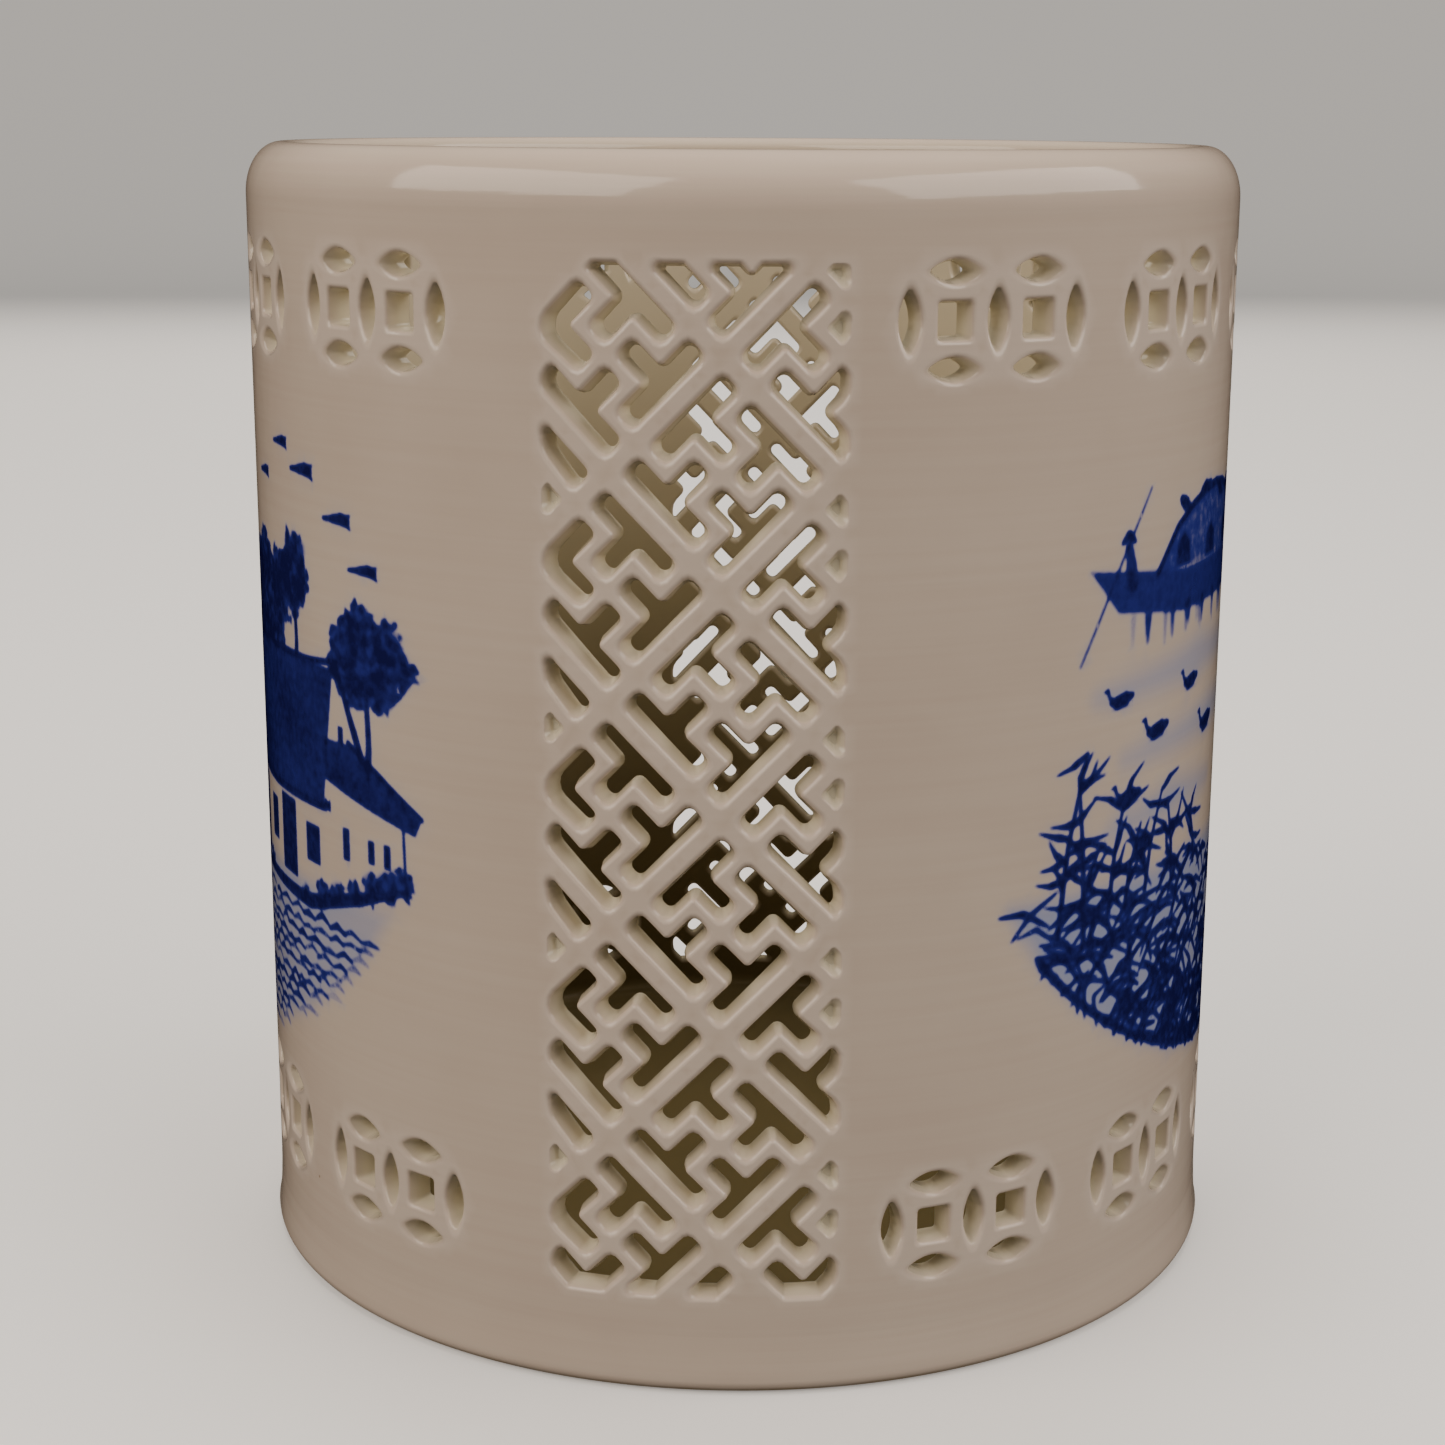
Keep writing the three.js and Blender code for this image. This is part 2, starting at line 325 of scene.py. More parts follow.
def inside_loop(points, loop):
    """Which points lie inside a closed loop."""
    x, y = points[:, :1], points[:, 1:]
    ax, ay = loop[:, 0], loop[:, 1]
    bx, by = np.roll(ax, -1), np.roll(ay, -1)
    crosses = (ay > y) != (by > y)
    with np.errstate(divide="ignore", invalid="ignore"):
        at = ax + (y - ay) * (bx - ax) / (by - ay)
    return (np.count_nonzero(crosses & (x < at), axis=1) % 2).astype(bool)


def dense_line(start, end, step):
    """Evenly spaced points from start up to, but not including, end."""
    start, end = np.asarray(start, float), np.asarray(end, float)
    pieces = max(1, round(np.linalg.norm(end - start) / step))
    return start + (end - start) * (np.arange(pieces) / pieces)[:, None]


def triangulate(border, holes, free):
    """Triangles that fill the border, less the holes, through some free points."""
    loops = [border, *holes]
    points = np.concatenate(loops + [free])
    edges, at = [], 0
    for loop in loops:
        count = len(loop)
        edges += [(at + i, at + (i + 1) % count) for i in range(count)]
        at += count
    made = delaunay_2d_cdt(points.tolist(), edges, [], 0, 1e-6)
    flat = np.array([tuple(p) for p in made[0]])
    triangles = np.array(made[2])
    middle = flat[triangles].mean(1)
    keep = inside_loop(middle, loops[0])
    for loop in loops[1:]:
        low, high = loop.min(0), loop.max(0)
        near = np.flatnonzero(((middle > low) & (middle < high)).all(1))
        keep[near[inside_loop(middle[near], loop)]] = False
    return flat, triangles[keep]


def clear_of(points, loops, distance):
    """The points that are outside every loop and not too near its corners."""
    keep = np.ones(len(points), bool)
    for loop in loops:
        low, high = loop.min(0) - distance, loop.max(0) + distance
        near = np.flatnonzero(((points > low) & (points < high)).all(1) & keep)
        if len(near) == 0:
            continue
        gap = np.linalg.norm(points[near][:, None] - loop[None], axis=2).min(1)
        keep[near[inside_loop(points[near], loop) | (gap < distance)]] = False
    return points[keep]


def off_border(points, border, distance):
    """The points that are not too near a border's own."""
    return points[np.array([np.abs(border - p).max(1).min() >= distance for p in points])]


def at_depth(flat, depth):
    """Flat pairs, round the wall and up, with a depth into the wall between them."""
    return np.stack([flat[:, 0], np.full(len(flat), depth), flat[:, 1]], 1)


def store(mesh, label, values):
    """Keeps a number at each point of a mesh."""
    layer = mesh.attributes.new(label, "FLOAT", "POINT")
    layer.data.foreach_set("value", np.asarray(values, np.float32))


class FlatPiece:
    """Collects points [round, depth, height], their flat normals and how deep each lies in
    the thick of the glaze, with the faces between them."""

    def __init__(self):
        self.verts, self.normals, self.pool, self.inner, self.faces = [], [], [], [], []
        self.count = 0

    def add(self, points, normals, pool, inner):
        first = self.count
        size = len(points)
        self.verts.append(points)
        self.normals.append(np.broadcast_to(normals, (size, 3)))
        self.pool.append(np.broadcast_to(pool, size))
        self.inner.append(np.broadcast_to(inner, size))
        self.count += size
        return first

    def sheet(self, flat, triangles, inner):
        points = at_depth(flat, WALL if inner else 0.0)
        first = self.add(points, (0, 1 if inner else -1, 0), 0.0, float(inner))
        order = triangles[:, ::-1] if inner else triangles
        self.faces += (order + first).tolist()

    def rings(self, rings):
        """Joins rings of equal length, given as (points, normals, pool, inner)."""
        firsts = [self.add(*ring) for ring in rings]
        size = len(rings[0][0])
        for upper, lower in zip(firsts, firsts[1:]):
            for i in range(size):
                j = (i + 1) % size
                self.faces.append([upper + i, upper + j, lower + j, lower + i])
        return firsts

    def mouth(self, loop, away, edge, round_in, depth=WALL, steps=3):
        """A pierced slot's carved outer edge, its side and its rounded inner edge. A slot that
        stops short of the inside gets a floor."""
        rings = []
        through = depth >= WALL
        steep = away / (away ** 2).sum(1)[:, None]  # the longer the way out, the gentler the slope
        for offset, into, turn, pool in edge:
            normals = at_depth(-steep * math.sin(turn), -math.cos(turn))
            rings.append((at_depth(loop + away * offset, into), normals, pool, 0.0))
        if through:
            # The inner edge fades into the inside's painted shade, and keeps some of the pooled
            # glaze's painted glow.
            for i in range(steps + 1):
                turn = i / steps * math.pi / 2
                at = loop + away * round_in * (1 - math.cos(turn))
                into = WALL - round_in * (1 - math.sin(turn))
                normals = at_depth(-steep * math.cos(turn), math.sin(turn))
                pool = 1 - 0.6 * math.sin(turn)
                rings.append((at_depth(at, into), normals, pool, i / steps))
        else:
            middle = loop.mean(0)
            for share in (0.75, 0.4):
                at = middle + (loop - middle) * share
                rings.append((at_depth(at, depth), (0, -1, 0), 1.0, 0.0))
        firsts = self.rings(rings)
        if not through:
            self.faces.append(list(range(firsts[-1], firsts[-1] + len(loop))))

    def edge(self, loop):
        """The hidden side where this piece meets its neighbours."""
        self.rings([(at_depth(loop, WALL), (0, 1, 0), 0.0, 1.0),
                    (at_depth(loop, 0.0), (0, -1, 0), 0.0, 0.0)])

    def mesh(self, name):
        made = bpy.data.meshes.new(name)
        made.from_pydata(np.concatenate(self.verts).tolist(), [], self.faces)
        layer = made.attributes.new("flat_normal", "FLOAT_VECTOR", "POINT")
        layer.data.foreach_set("vector", np.concatenate(self.normals).ravel())
        store(made, "pool", np.concatenate(self.pool))
        store(made, "inner", np.concatenate(self.inner))
        return made


def group_tree(name, sockets):
    """An empty geometry tree with a geometry input and output and the named sockets."""
    tree = bpy.data.node_groups.new(name, "GeometryNodeTree")
    tree.interface.new_socket("Geometry", in_out="INPUT", socket_type="NodeSocketGeometry")
    tree.interface.new_socket("Geometry", in_out="OUTPUT", socket_type="NodeSocketGeometry")
    for label, kind in sockets.items():
        tree.interface.new_socket(label, in_out="INPUT", socket_type="NodeSocket" + kind)
    return tree, tree.nodes.new("NodeGroupInput").outputs


def finish_tree(tree, geometry, material):
    """Ends a tree: real geometry, smooth shading and its material."""
    real = node(tree, "GeometryNodeRealizeInstances", inputs={"Geometry": geometry})
    smooth = node(tree, "GeometryNodeSetShadeSmooth", inputs={"Geometry": real.outputs[0]})
    finished = node(tree, "GeometryNodeSetMaterial", inputs={
        "Geometry": smooth.outputs[0], "Material": material})
    node(tree, "NodeGroupOutput", inputs={"Geometry": finished.outputs[0]})


def coin_row_tree():
    """Copies of one double-coin tile, side by side in two rows, welded into the bare wall."""
    tree, given = group_tree("double_coin_rows", {
        "Tile": "Object", "Count": "Int", "Pitch": "Float", "First": "Float",
        "Lower Row": "Float", "Upper Row": "Float", "Material": "Material"})
    tile = node(tree, "GeometryNodeObjectInfo", {"transform_space": "ORIGINAL"},
                {"Object": given["Tile"], "As Instance": True})
    step = node(tree, "ShaderNodeCombineXYZ", inputs={"X": given["Pitch"]})
    parts = [given["Geometry"]]
    for row in ("Lower Row", "Upper Row"):
        start = node(tree, "ShaderNodeCombineXYZ", inputs={"X": given["First"], "Z": given[row]})
        line = node(tree, "GeometryNodeMeshLine", inputs={
            "Count": given["Count"], "Start Location": start.outputs[0],
            "Offset": step.outputs[0]})
        copies = node(tree, "GeometryNodeInstanceOnPoints", inputs={
            "Points": line.outputs[0], "Instance": tile.outputs["Geometry"]})
        parts.append(node(tree, "GeometryNodeRealizeInstances", inputs={
            "Geometry": copies.outputs[0]}).outputs[0])
    joined = node(tree, "GeometryNodeJoinGeometry")
    for part in parts:
        tree.links.new(part, joined.inputs[0])
    welded = node(tree, "GeometryNodeMergeByDistance", inputs={
        "Geometry": joined.outputs[0], "Distance": WELD})
    finish_tree(tree, welded.outputs[0], given["Material"])
    return tree


def wrap_tree():
    """Wraps a flat piece round the pot: its distance round the wall becomes an angle."""
    tree, given = group_tree("wrap_round_pot", {
        "Radius": "Float", "Wall": "Float", "Flare": "Float", "Flare Height": "Float",
        "Turn": "Float", "Scale": "Float", "Material": "Material"})
    place = node(tree, "GeometryNodeInputPosition").outputs[0]
    flat = node(tree, "ShaderNodeSeparateXYZ", inputs={0: place}).outputs
    angle = maths(tree, "DIVIDE", flat["X"], given["Radius"])
    angle = maths(tree, "ADD", angle, given["Turn"])
    up = maths(tree, "DIVIDE", flat["Z"], given["Flare Height"])
    near_foot = maths(tree, "MAXIMUM", maths(tree, "SUBTRACT", 1.0, up), 0.0)
    spread = maths(tree, "MULTIPLY", given["Flare"], maths(tree, "POWER", near_foot, 2.0))
    inward = maths(tree, "DIVIDE", flat["Y"], given["Wall"])
    spread = maths(tree, "MULTIPLY", spread, maths(tree, "SUBTRACT", 1.0, inward))
    radius = maths(tree, "ADD", given["Radius"], spread)
    radius = maths(tree, "SUBTRACT", radius, flat["Y"])
    front = node(tree, "ShaderNodeCombineXYZ", inputs={
        "Y": maths(tree, "MULTIPLY", radius, -1.0), "Z": flat["Z"]})
    turned = node(tree, "ShaderNodeVectorRotate", {"rotation_type": "Z_AXIS"}, {
        "Vector": front.outputs[0], "Angle": angle})
    scaled = node(tree, "ShaderNodeVectorMath", {"operation": "SCALE"}, {
        0: turned.outputs[0], "Scale": given["Scale"]})
    flat_normal = node(tree, "GeometryNodeInputNamedAttribute", {"data_type": "FLOAT_VECTOR"},
                       {"Name": "flat_normal"})
    facing = node(tree, "ShaderNodeVectorRotate", {"rotation_type": "Z_AXIS"}, {
        "Vector": flat_normal.outputs[0], "Angle": angle})
    stored = node(tree, "GeometryNodeStoreNamedAttribute",
                  {"data_type": "FLOAT_VECTOR", "domain": "POINT"},
                  {"Geometry": given["Geometry"], "Name": "facing", "Value": facing.outputs[0]})
    welded = node(tree, "GeometryNodeMergeByDistance", inputs={
        "Geometry": stored.outputs[0], "Distance": WELD})
    wrapped = node(tree, "GeometryNodeSetPosition", inputs={
        "Geometry": welded.outputs[0], "Position": scaled.outputs[0]})
    finish_tree(tree, wrapped.outputs[0], given["Material"])
    return tree


def add_modifier(piece, tree, values):
    modifier = piece.modifiers.new(tree.name, "NODES")
    modifier.node_group = tree
    for item in tree.interface.items_tree:
        if item.in_out == "INPUT" and item.name in values:
            modifier[item.identifier] = values[item.name]


def baked(flat, name):
    """The evaluated piece as a plain mesh, with the normals that its rule gives it."""
    depsgraph = bpy.context.evaluated_depsgraph_get()
    mesh = bpy.data.meshes.new_from_object(flat.evaluated_get(depsgraph))
    mesh.name = name
    bpy.data.objects.remove(flat)
    count = len(mesh.vertices)
    facing = np.empty(count * 3, np.float32)
    mesh.attributes["facing"].data.foreach_get("vector", facing)
    facing = facing.reshape(count, 3)
    facing /= np.maximum(np.linalg.norm(facing, axis=1), 1e-6)[:, None]
    mesh.normals_split_custom_set_from_vertices(facing.tolist())
    mesh.attributes.remove(mesh.attributes["facing"])
    mesh.attributes.remove(mesh.attributes["flat_normal"])
    return linked(name, mesh)


WRAP = wrap_tree()
WRAP_SIZES = {"Radius": RADIUS, "Wall": WALL, "Flare": FLARE, "Flare Height": FLARE_HEIGHT,
              "Scale": MM}


def grid_points(low, high, step_round, step_up):
    """Staggered rows of points between two corners."""
    columns = np.arange(low[0] + step_round / 2, high[0], step_round)
    rows = np.arange(low[1] + step_up / 2, high[1], step_up)
    round_pot, up = np.meshgrid(columns, rows)
    round_pot[1::2] += step_round / 2
    points = np.stack([round_pot.ravel(), up.ravel()], 1)
    return points[points[:, 0] < high[0]]


def framed(low, high):
    """The evenly spaced edge of a rectangle, anticlockwise from its low corner."""
    corners = [low, (high[0], low[1]), high, (low[0], high[1]), low]
    return np.concatenate([
        dense_line(start, end, TILE_STEP) for start, end in zip(corners, corners[1:])])


# Double coins: two linked coins with square middles, each ringed by lens-shaped piercings.
# They are cut with a knife in the leather-hard wall, and the glaze rounds and tints their edges.
COIN_COUNT = 5
COIN_PITCH = 27.98
FIRST_COIN = 31.25  # from the middle of the panel on its left
COIN_ROWS = (17.8, 113.6)
COIN_SPACING = 9.7
COIN_TILE_HEIGHT = 15.0
TILE_STEP = COIN_PITCH / 20  # between points on a tile's edge
COARSE_STEPS = 1.5, 1.4  # between points of the plain wall, round and up
EDGE_CLEAR = 0.6  # between those points and an edge
COIN_EDGE = carved_edge(0.42, 0.2, 1.5)
COIN_LIP = COIN_EDGE[0][0]
COIN_INNER_LIP = 0.4


def lens_outline(middle, width, height):
    """A lens with two pointed ends, anticlockwise."""
    across = np.linspace(-1, 1, 7)
    bulge = (1 - across ** 2) / 2
    if width > height:
        lower = np.stack([across * width / 2, -bulge * height], 1)
        upper = np.stack([-across * width / 2, bulge * height], 1)
    else:
        lower = np.stack([bulge * width, across * height / 2], 1)
        upper = np.stack([-bulge * width, -across * height / 2], 1)
    return np.concatenate([lower[:-1], upper[:-1]]) + middle


def double_coin_outlines():
    """Each piercing's outline at the surface, the rounding of its corners, its middle, and how
    far it narrows towards the hole: the knife went in at a slant, and the glaze filled in."""
    outlines = []
    for side in (-1, 1):
        middle = np.array([side * COIN_SPACING / 2, 0.0])
        square = np.array([(-1.75, -1.8), (1.75, -1.8), (1.75, 1.8), (-1.75, 1.8)])
        outlines.append((square + middle, 0.4, middle, (0.9, 0.94)))
        for level in (-4.8, 4.8):
            place = middle + (0, level)
            outlines.append((lens_outline(place, 7.3, 2.4), 0.25, place, (0.62, 0.82)))
    for column in (-1, 0, 1):
        place = np.array([column * COIN_SPACING, 0.0])
        outlines.append((lens_outline(place, 2.2, 7.7), 0.25, place, (0.82, 0.7)))
    return outlines


def coin_tile():
    """One double coin in its rectangle of wall, flat, about the tile's middle."""
    tile = FlatPiece()
    wide, tall = COIN_PITCH / 2, COIN_TILE_HEIGHT / 2
    border = framed((-wide, -tall), (wide, tall))
    holes = []
    for outline, round_end, middle, narrowed in double_coin_outlines():
        cut, out = rounded(outline, round_end, COIN_LIP, COIN_LIP, 0.9)
        loop = middle + (cut - middle) * narrowed
        away = (cut + out * COIN_LIP - loop) / COIN_LIP
        tile.mouth(loop, away, COIN_EDGE, COIN_INNER_LIP, steps=2)
        holes.append((loop, away))
    grid = grid_points((-wide, -tall), (wide, tall), *COARSE_STEPS)
    grid = grid[(np.abs(grid) < (wide - EDGE_CLEAR, tall - EDGE_CLEAR)).all(1)]
    for inner, lip in ((False, COIN_LIP), (True, COIN_INNER_LIP)):
        loops = [loop + away * lip for loop, away in holes]
        free = clear_of(grid, loops, 0.5)
        tile.sheet(*triangulate(border, loops, free), inner)
    return tile.mesh("double_coin_tile")


COIN_ROW_TREE = coin_row_tree()
COIN_TILE = linked("double_coin_tile", coin_tile())


BLACK, WHITE = "000000", "ffffff"
# The clay's two tones are its own. The thin-glaze colour is partly a painted highlight on carved
# edges, and the pooled-glaze colour, lighter than the clay, is a painted glow in recesses.
CLAY_DARK, CLAY_LIGHT, THIN_GLAZE_HIGHLIGHT, POOLED_GLAZE_GLOW = "cfbdac", "d4c3b2", "ebded1", "e0d7bd"
GLOSS = 0.1  # roughness of the glaze


def attribute(tree, label):
    return node(tree, "ShaderNodeAttribute", {"attribute_name": label}).outputs["Fac"]


def glazed_porcelain(name, painted=False):
    """Hard-paste porcelain under a clear, glossy feldspar glaze: near-white clay with faint
    turning lines and a few iron specks, and glaze that pools warm in every carved recess.
    Carved edges are painted whiter, in part a painted highlight, recesses are painted
    lighter than the clay, a painted glow, and the inside is painted darker towards the
    floor, painted shade."""
    material, tree, shader, place = new_material(name)
    # Clay seen through the glaze: cloudy by a percent or two, over 20 mm.
    clay = ramp(tree, noise(tree, place, 45.0, 3.0), (0.3, CLAY_DARK), (0.7, CLAY_LIGHT))
    # Turning lines, 0.9 mm apart, run level round the pot.
    level = node(tree, "ShaderNodeMapping", inputs={
        "Vector": place, "Scale": (25.0, 25.0, 1100.0)}).outputs[0]
    lines = noise(tree, level, 1.0)
    clay = mix(tree, 0.022, clay, ramp(tree, lines, (0.35, BLACK), (0.65, WHITE)), "OVERLAY")
    # Glaze runs thin and white over carved edges, and pools in the recesses, straw-coloured.
    #     # The white edges are also a painted highlight along the brows, and the pooled colour,
    #     # lighter than the clay, is a painted glow in the recesses, where translucent clay lets
    #     light in.
    thin = maths(tree, "MULTIPLY", attribute(tree, "pool"), -1.0, clamp=True)
    thick = node(tree, "ShaderNodeClamp", inputs={"Value": attribute(tree, "pool")}).outputs[0]
    clay = mix(tree, thin, clay, linear(THIN_GLAZE_HIGHLIGHT))
    clay = mix(tree, thick, clay, linear(POOLED_GLAZE_GLOW))
    # Inside, painted shade: the colour darkens to brown towards the floor, where less light
    #     # reaches down the pot.
    height = node(tree, "ShaderNodeSeparateXYZ", inputs={0: place}).outputs["Z"]
    deep = node(tree, "ShaderNodeMapRange", inputs={
        "Value": height, "From Min": 0.02, "From Max": 0.125}).outputs["Result"]
    inside = ramp(tree, deep, (0.0, "726544"), (0.45, "b0a483"), (1.0, "cec3aa"))
    clay = mix(tree, attribute(tree, "inner"), clay, inside)
    # Iron specks, 0.4 mm across, one here and there.
    cells = node(tree, "ShaderNodeTexVoronoi", inputs={"Vector": place, "Scale": 110.0}).outputs
    speck = ramp(tree, cells["Distance"], (0.018, WHITE), (0.03, BLACK))
    draw = node(tree, "ShaderNodeSeparateColor", inputs={0: cells["Color"]}).outputs[0]
    rare = ramp(tree, draw, (0.93, BLACK), (0.94, WHITE))
    clay = mix(tree, mix(tree, 1.0, speck, rare, "MULTIPLY"), clay, linear("8a7052"))
    if painted:
        clay = cobalt_over(tree, place, clay)
    tree.links.new(clay, shader.inputs["Base Color"])
    shader.inputs["Roughness"].default_value = GLOSS
    shader.inputs["IOR"].default_value = 1.5
    # The glaze flows level, apart from the turning lines and a slow orange-peel, 4 mm across.
    ridges = node(tree, "ShaderNodeBump", inputs={
        "Height": lines, "Strength": 0.06, "Distance": 0.0003})
    skin = node(tree, "ShaderNodeBump", inputs={
        "Height": noise(tree, place, 260.0, 1.0), "Strength": 0.05, "Distance": 0.0006,
        "Normal": ridges.outputs[0]})
    tree.links.new(skin.outputs["Normal"], shader.inputs["Normal"])
    return material


def cobalt_over(tree, place, clay):
    """Cobalt blue brushed on before glazing: ink holds the strokes and wash the thin tints."""
    uneven = node(tree, "ShaderNodeMapRange", inputs={
        "Value": noise(tree, place, 900.0, 3.0),
        "From Min": 0.3, "From Max": 0.7, "To Min": 0.88, "To Max": 1.14}).outputs["Result"]
    ink = maths(tree, "MULTIPLY", attribute(tree, "ink"), uneven, clamp=True)
    tinted = mix(tree, attribute(tree, "wash"), clay, linear("8698c4"))
    blue = ramp(tree, ink, (0.0, "b4bdd4"), (0.25, "5f6bae"), (0.5, "2e3488"), (1.0, "1a1b50"))
    cover = ramp(tree, ink, (0.02, BLACK), (0.45, WHITE))
    return mix(tree, cover, tinted, blue)


PORCELAIN = glazed_porcelain("painted_glazed_porcelain", painted=True)
PLAIN_PORCELAIN = glazed_porcelain("glazed_porcelain")


def seam_points(low, high):
    """Distances between two places that meet a neighbour's points, one each degree."""
    first = math.floor(low / SEAM_STEP + 1e-6) + 1
    last = math.ceil(high / SEAM_STEP - 1e-6) - 1
    return [low, *[k * SEAM_STEP for k in range(first, last + 1)], high]


def outline_through(corners):
    """An outline whose level edges carry the seam's points and whose upright ones are even."""
    points = []
    for start, end in zip(corners, corners[1:] + corners[:1]):
        if start[1] == end[1]:
            low, high = sorted((start[0], end[0]))
            row = seam_points(low, high)
            row = row if start[0] < end[0] else row[::-1]
            points += [(x, start[1]) for x in row[:-1]]
        else:
            points += dense_line(start, end, SEAM_STEP).tolist()
    return np.array(points)


def half_wall(name, turn, paint):
    """Half of the wall, from the middle of one lattice panel to the middle of the next."""
    flat = FlatPiece()
    far = HALF_ROUND
    outline = outline_through([
        (0.0, WALL_BOTTOM), (far, WALL_BOTTOM), (far, WINDOW_BOTTOM),
        (far - WINDOW_HALF, WINDOW_BOTTOM), (far - WINDOW_HALF, WINDOW_TOP), (far, WINDOW_TOP),
        (far, WALL_TOP), (0.0, WALL_TOP), (0.0, WINDOW_TOP), (WINDOW_HALF, WINDOW_TOP),
        (WINDOW_HALF, WINDOW_BOTTOM), (0.0, WINDOW_BOTTOM),
    ])
    low = FIRST_COIN - COIN_PITCH / 2
    high = low + COIN_COUNT * COIN_PITCH
    tall = COIN_TILE_HEIGHT / 2
    bands = [framed((low, row - tall), (high, row + tall)) for row in COIN_ROWS]
    coarse = grid_points((0, WALL_BOTTOM), (far, WALL_TOP), *COARSE_STEPS)
    coarse = coarse[inside_loop(coarse, outline)]
    coarse = clear_of(off_border(coarse, outline, EDGE_CLEAR), bands, EDGE_CLEAR)
    fine = clear_of(paint.fine_points(), bands, 0.3)
    plain = coarse[~paint.worked(coarse)]
    flat.sheet(*triangulate(outline, bands, np.concatenate([plain, fine])), False)
    flat.sheet(*triangulate(outline, bands, coarse[::3]), True)
    flat.edge(outline)
    mesh = flat.mesh(name)
    spots = np.concatenate(flat.verts)
    for label in ("ink", "wash"):
        values = paint.sample(getattr(paint, label), spots[:, [0, 2]])
        values[spots[:, 1] > 0] = 0
        store(mesh, label, values)
    wall = linked(name, mesh)
    add_modifier(wall, COIN_ROW_TREE, {
        "Tile": COIN_TILE, "Count": COIN_COUNT, "Pitch": COIN_PITCH, "First": FIRST_COIN,
        "Lower Row": COIN_ROWS[0], "Upper Row": COIN_ROWS[1], "Material": PORCELAIN})
    add_modifier(wall, WRAP, {**WRAP_SIZES, "Turn": turn, "Material": PORCELAIN})
    piece = baked(wall, name)
    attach(piece, "root")
    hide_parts("wall_shell")


EDGE_CONTRAST = 0.28  # change of ink in a millimetre, past which the surface is made finer


class Painting:
    """Cobalt on one side of the wall: strokes (ink) and thin tints (wash), worked out on a
    fine grid. Places are in millimetres, from the painting's middle and from the table."""

    PER_MM = 8
    HALF_WIDTH, BOTTOM, TOP = 64.0, 22.0, 104.0

    def __init__(self, seed):
        self.low = np.array([HALF_ROUND / 2 - self.HALF_WIDTH, self.BOTTOM])
        self.size = (round((self.TOP - self.BOTTOM) * self.PER_MM),
                     round(2 * self.HALF_WIDTH * self.PER_MM))
        self.ink = np.zeros(self.size)
        self.wash = np.zeros(self.size)
        self.random = np.random.default_rng(seed)
        self.across = (np.arange(self.size[1]) + 0.5) / self.PER_MM - self.HALF_WIDTH
        self.up = (np.arange(self.size[0]) + 0.5) / self.PER_MM + self.BOTTOM

    def window(self, points, margin):
        """The part of the grid round some points, and its places."""
        low, high = points.min(0) - margin, points.max(0) + margin
        columns = slice(*np.searchsorted(self.across, (low[0], high[0])))
        rows = slice(*np.searchsorted(self.up, (low[1], high[1])))
        across, up = np.meshgrid(self.across[columns], self.up[rows])
        return (rows, columns), np.stack([across, up], -1)

    def lay(self, layer, where, cover):
        held = getattr(self, layer)
        held[where] = 1 - (1 - held[where]) * (1 - np.clip(cover, 0, 1))

    def stroke(self, path, widths, strength=0.9, soft=0.3, layer="ink"):
        """One brush stroke along a smooth path, whose width follows the pressure."""
        path, widths = np.asarray(path, float), np.asarray(widths, float)
        marks = np.linspace(0, 1, len(path))
        if len(path) > 2:
            fine = np.linspace(0, 1, 4 * len(path))
            weights = np.exp(-((fine[:, None] - marks) / (0.55 / (len(path) - 1))) ** 2)
            weights /= weights.sum(1)[:, None]
            smooth = weights @ path
            smooth[0], smooth[-1] = path[0], path[-1]
        else:
            fine, smooth = marks, path
        wide = np.interp(fine, np.linspace(0, 1, len(widths)), widths)
        where, places = self.window(smooth, wide.max() / 2 + soft)
        if places.size == 0:
            return
        cover = np.zeros(places.shape[:2])
        for (a, b), (wa, wb) in zip(zip(smooth, smooth[1:]), zip(wide, wide[1:])):
            run = b - a
            share = np.clip(((places - a) @ run) / max(run @ run, 1e-9), 0, 1)
            gap = np.linalg.norm(places - a - share[..., None] * run, axis=-1)
            half = (wa + (wb - wa) * share) / 2
            cover = np.maximum(cover, np.clip(0.5 + (half - gap) / soft, 0, 1))
        self.lay(layer, where, cover * strength)

    def cover_of(self, corners, soft):
        corners = np.asarray(corners, float)
        where, places = self.window(corners, soft)
        shape = places.shape[:2]
        flat = places.reshape(-1, 2)
        inside = inside_loop(flat, corners)
        gap = np.full(len(flat), np.inf)
        for a, b in zip(corners, np.roll(corners, -1, 0)):
            run = b - a
            share = np.clip(((flat - a) @ run) / max(run @ run, 1e-9), 0, 1)
            gap = np.minimum(gap, np.linalg.norm(flat - a - share[:, None] * run, axis=1))
        cover = np.clip(0.5 + np.where(inside, gap, -gap) / soft, 0, 1)
        return where, places, cover.reshape(shape)

    def fill(self, corners, strength, soft=0.4, layer="ink"):
        where, _, cover = self.cover_of(corners, soft)
        self.lay(layer, where, cover * strength)

    def spare(self, corners):
        """Wipes an area back to bare white."""
        where, _, cover = self.cover_of(corners, 0.35)
        for layer in (self.ink, self.wash):
            layer[where] *= 1 - cover

    def tiles(self, corners, lean, strength=0.9):
        """A tiled roof: dark courses of tiles, with each tile a short curved mark."""
        tile, course_height = 0.95, 1.3
        where, places, cover = self.cover_of(corners, 0.35)
        x = places[..., 0] + lean * places[..., 1]
        z = places[..., 1]
        wobble = 0.35 * np.sin(z * 0.9 + 1.3 * np.sin(x * 0.31)) + 0.2 * np.sin(x * 1.7)
        column = 0.5 + 0.5 * np.cos((x + wobble) * 2 * math.pi / tile)
        bowed = z + 0.25 * np.sin(x * 2 * math.pi / tile)
        course = 0.5 + 0.5 * np.cos(bowed * 2 * math.pi / course_height)
        marks = np.clip(0.25 + 0.55 * column + 0.4 * course, 0, 1)
        patch = 0.5 + 0.5 * np.sin(x * 0.23 + 1.0) * np.sin(z * 0.37 + x * 0.11)
        self.lay("ink", where, cover * strength * (0.6 + 0.22 * patch + 0.22 * marks))

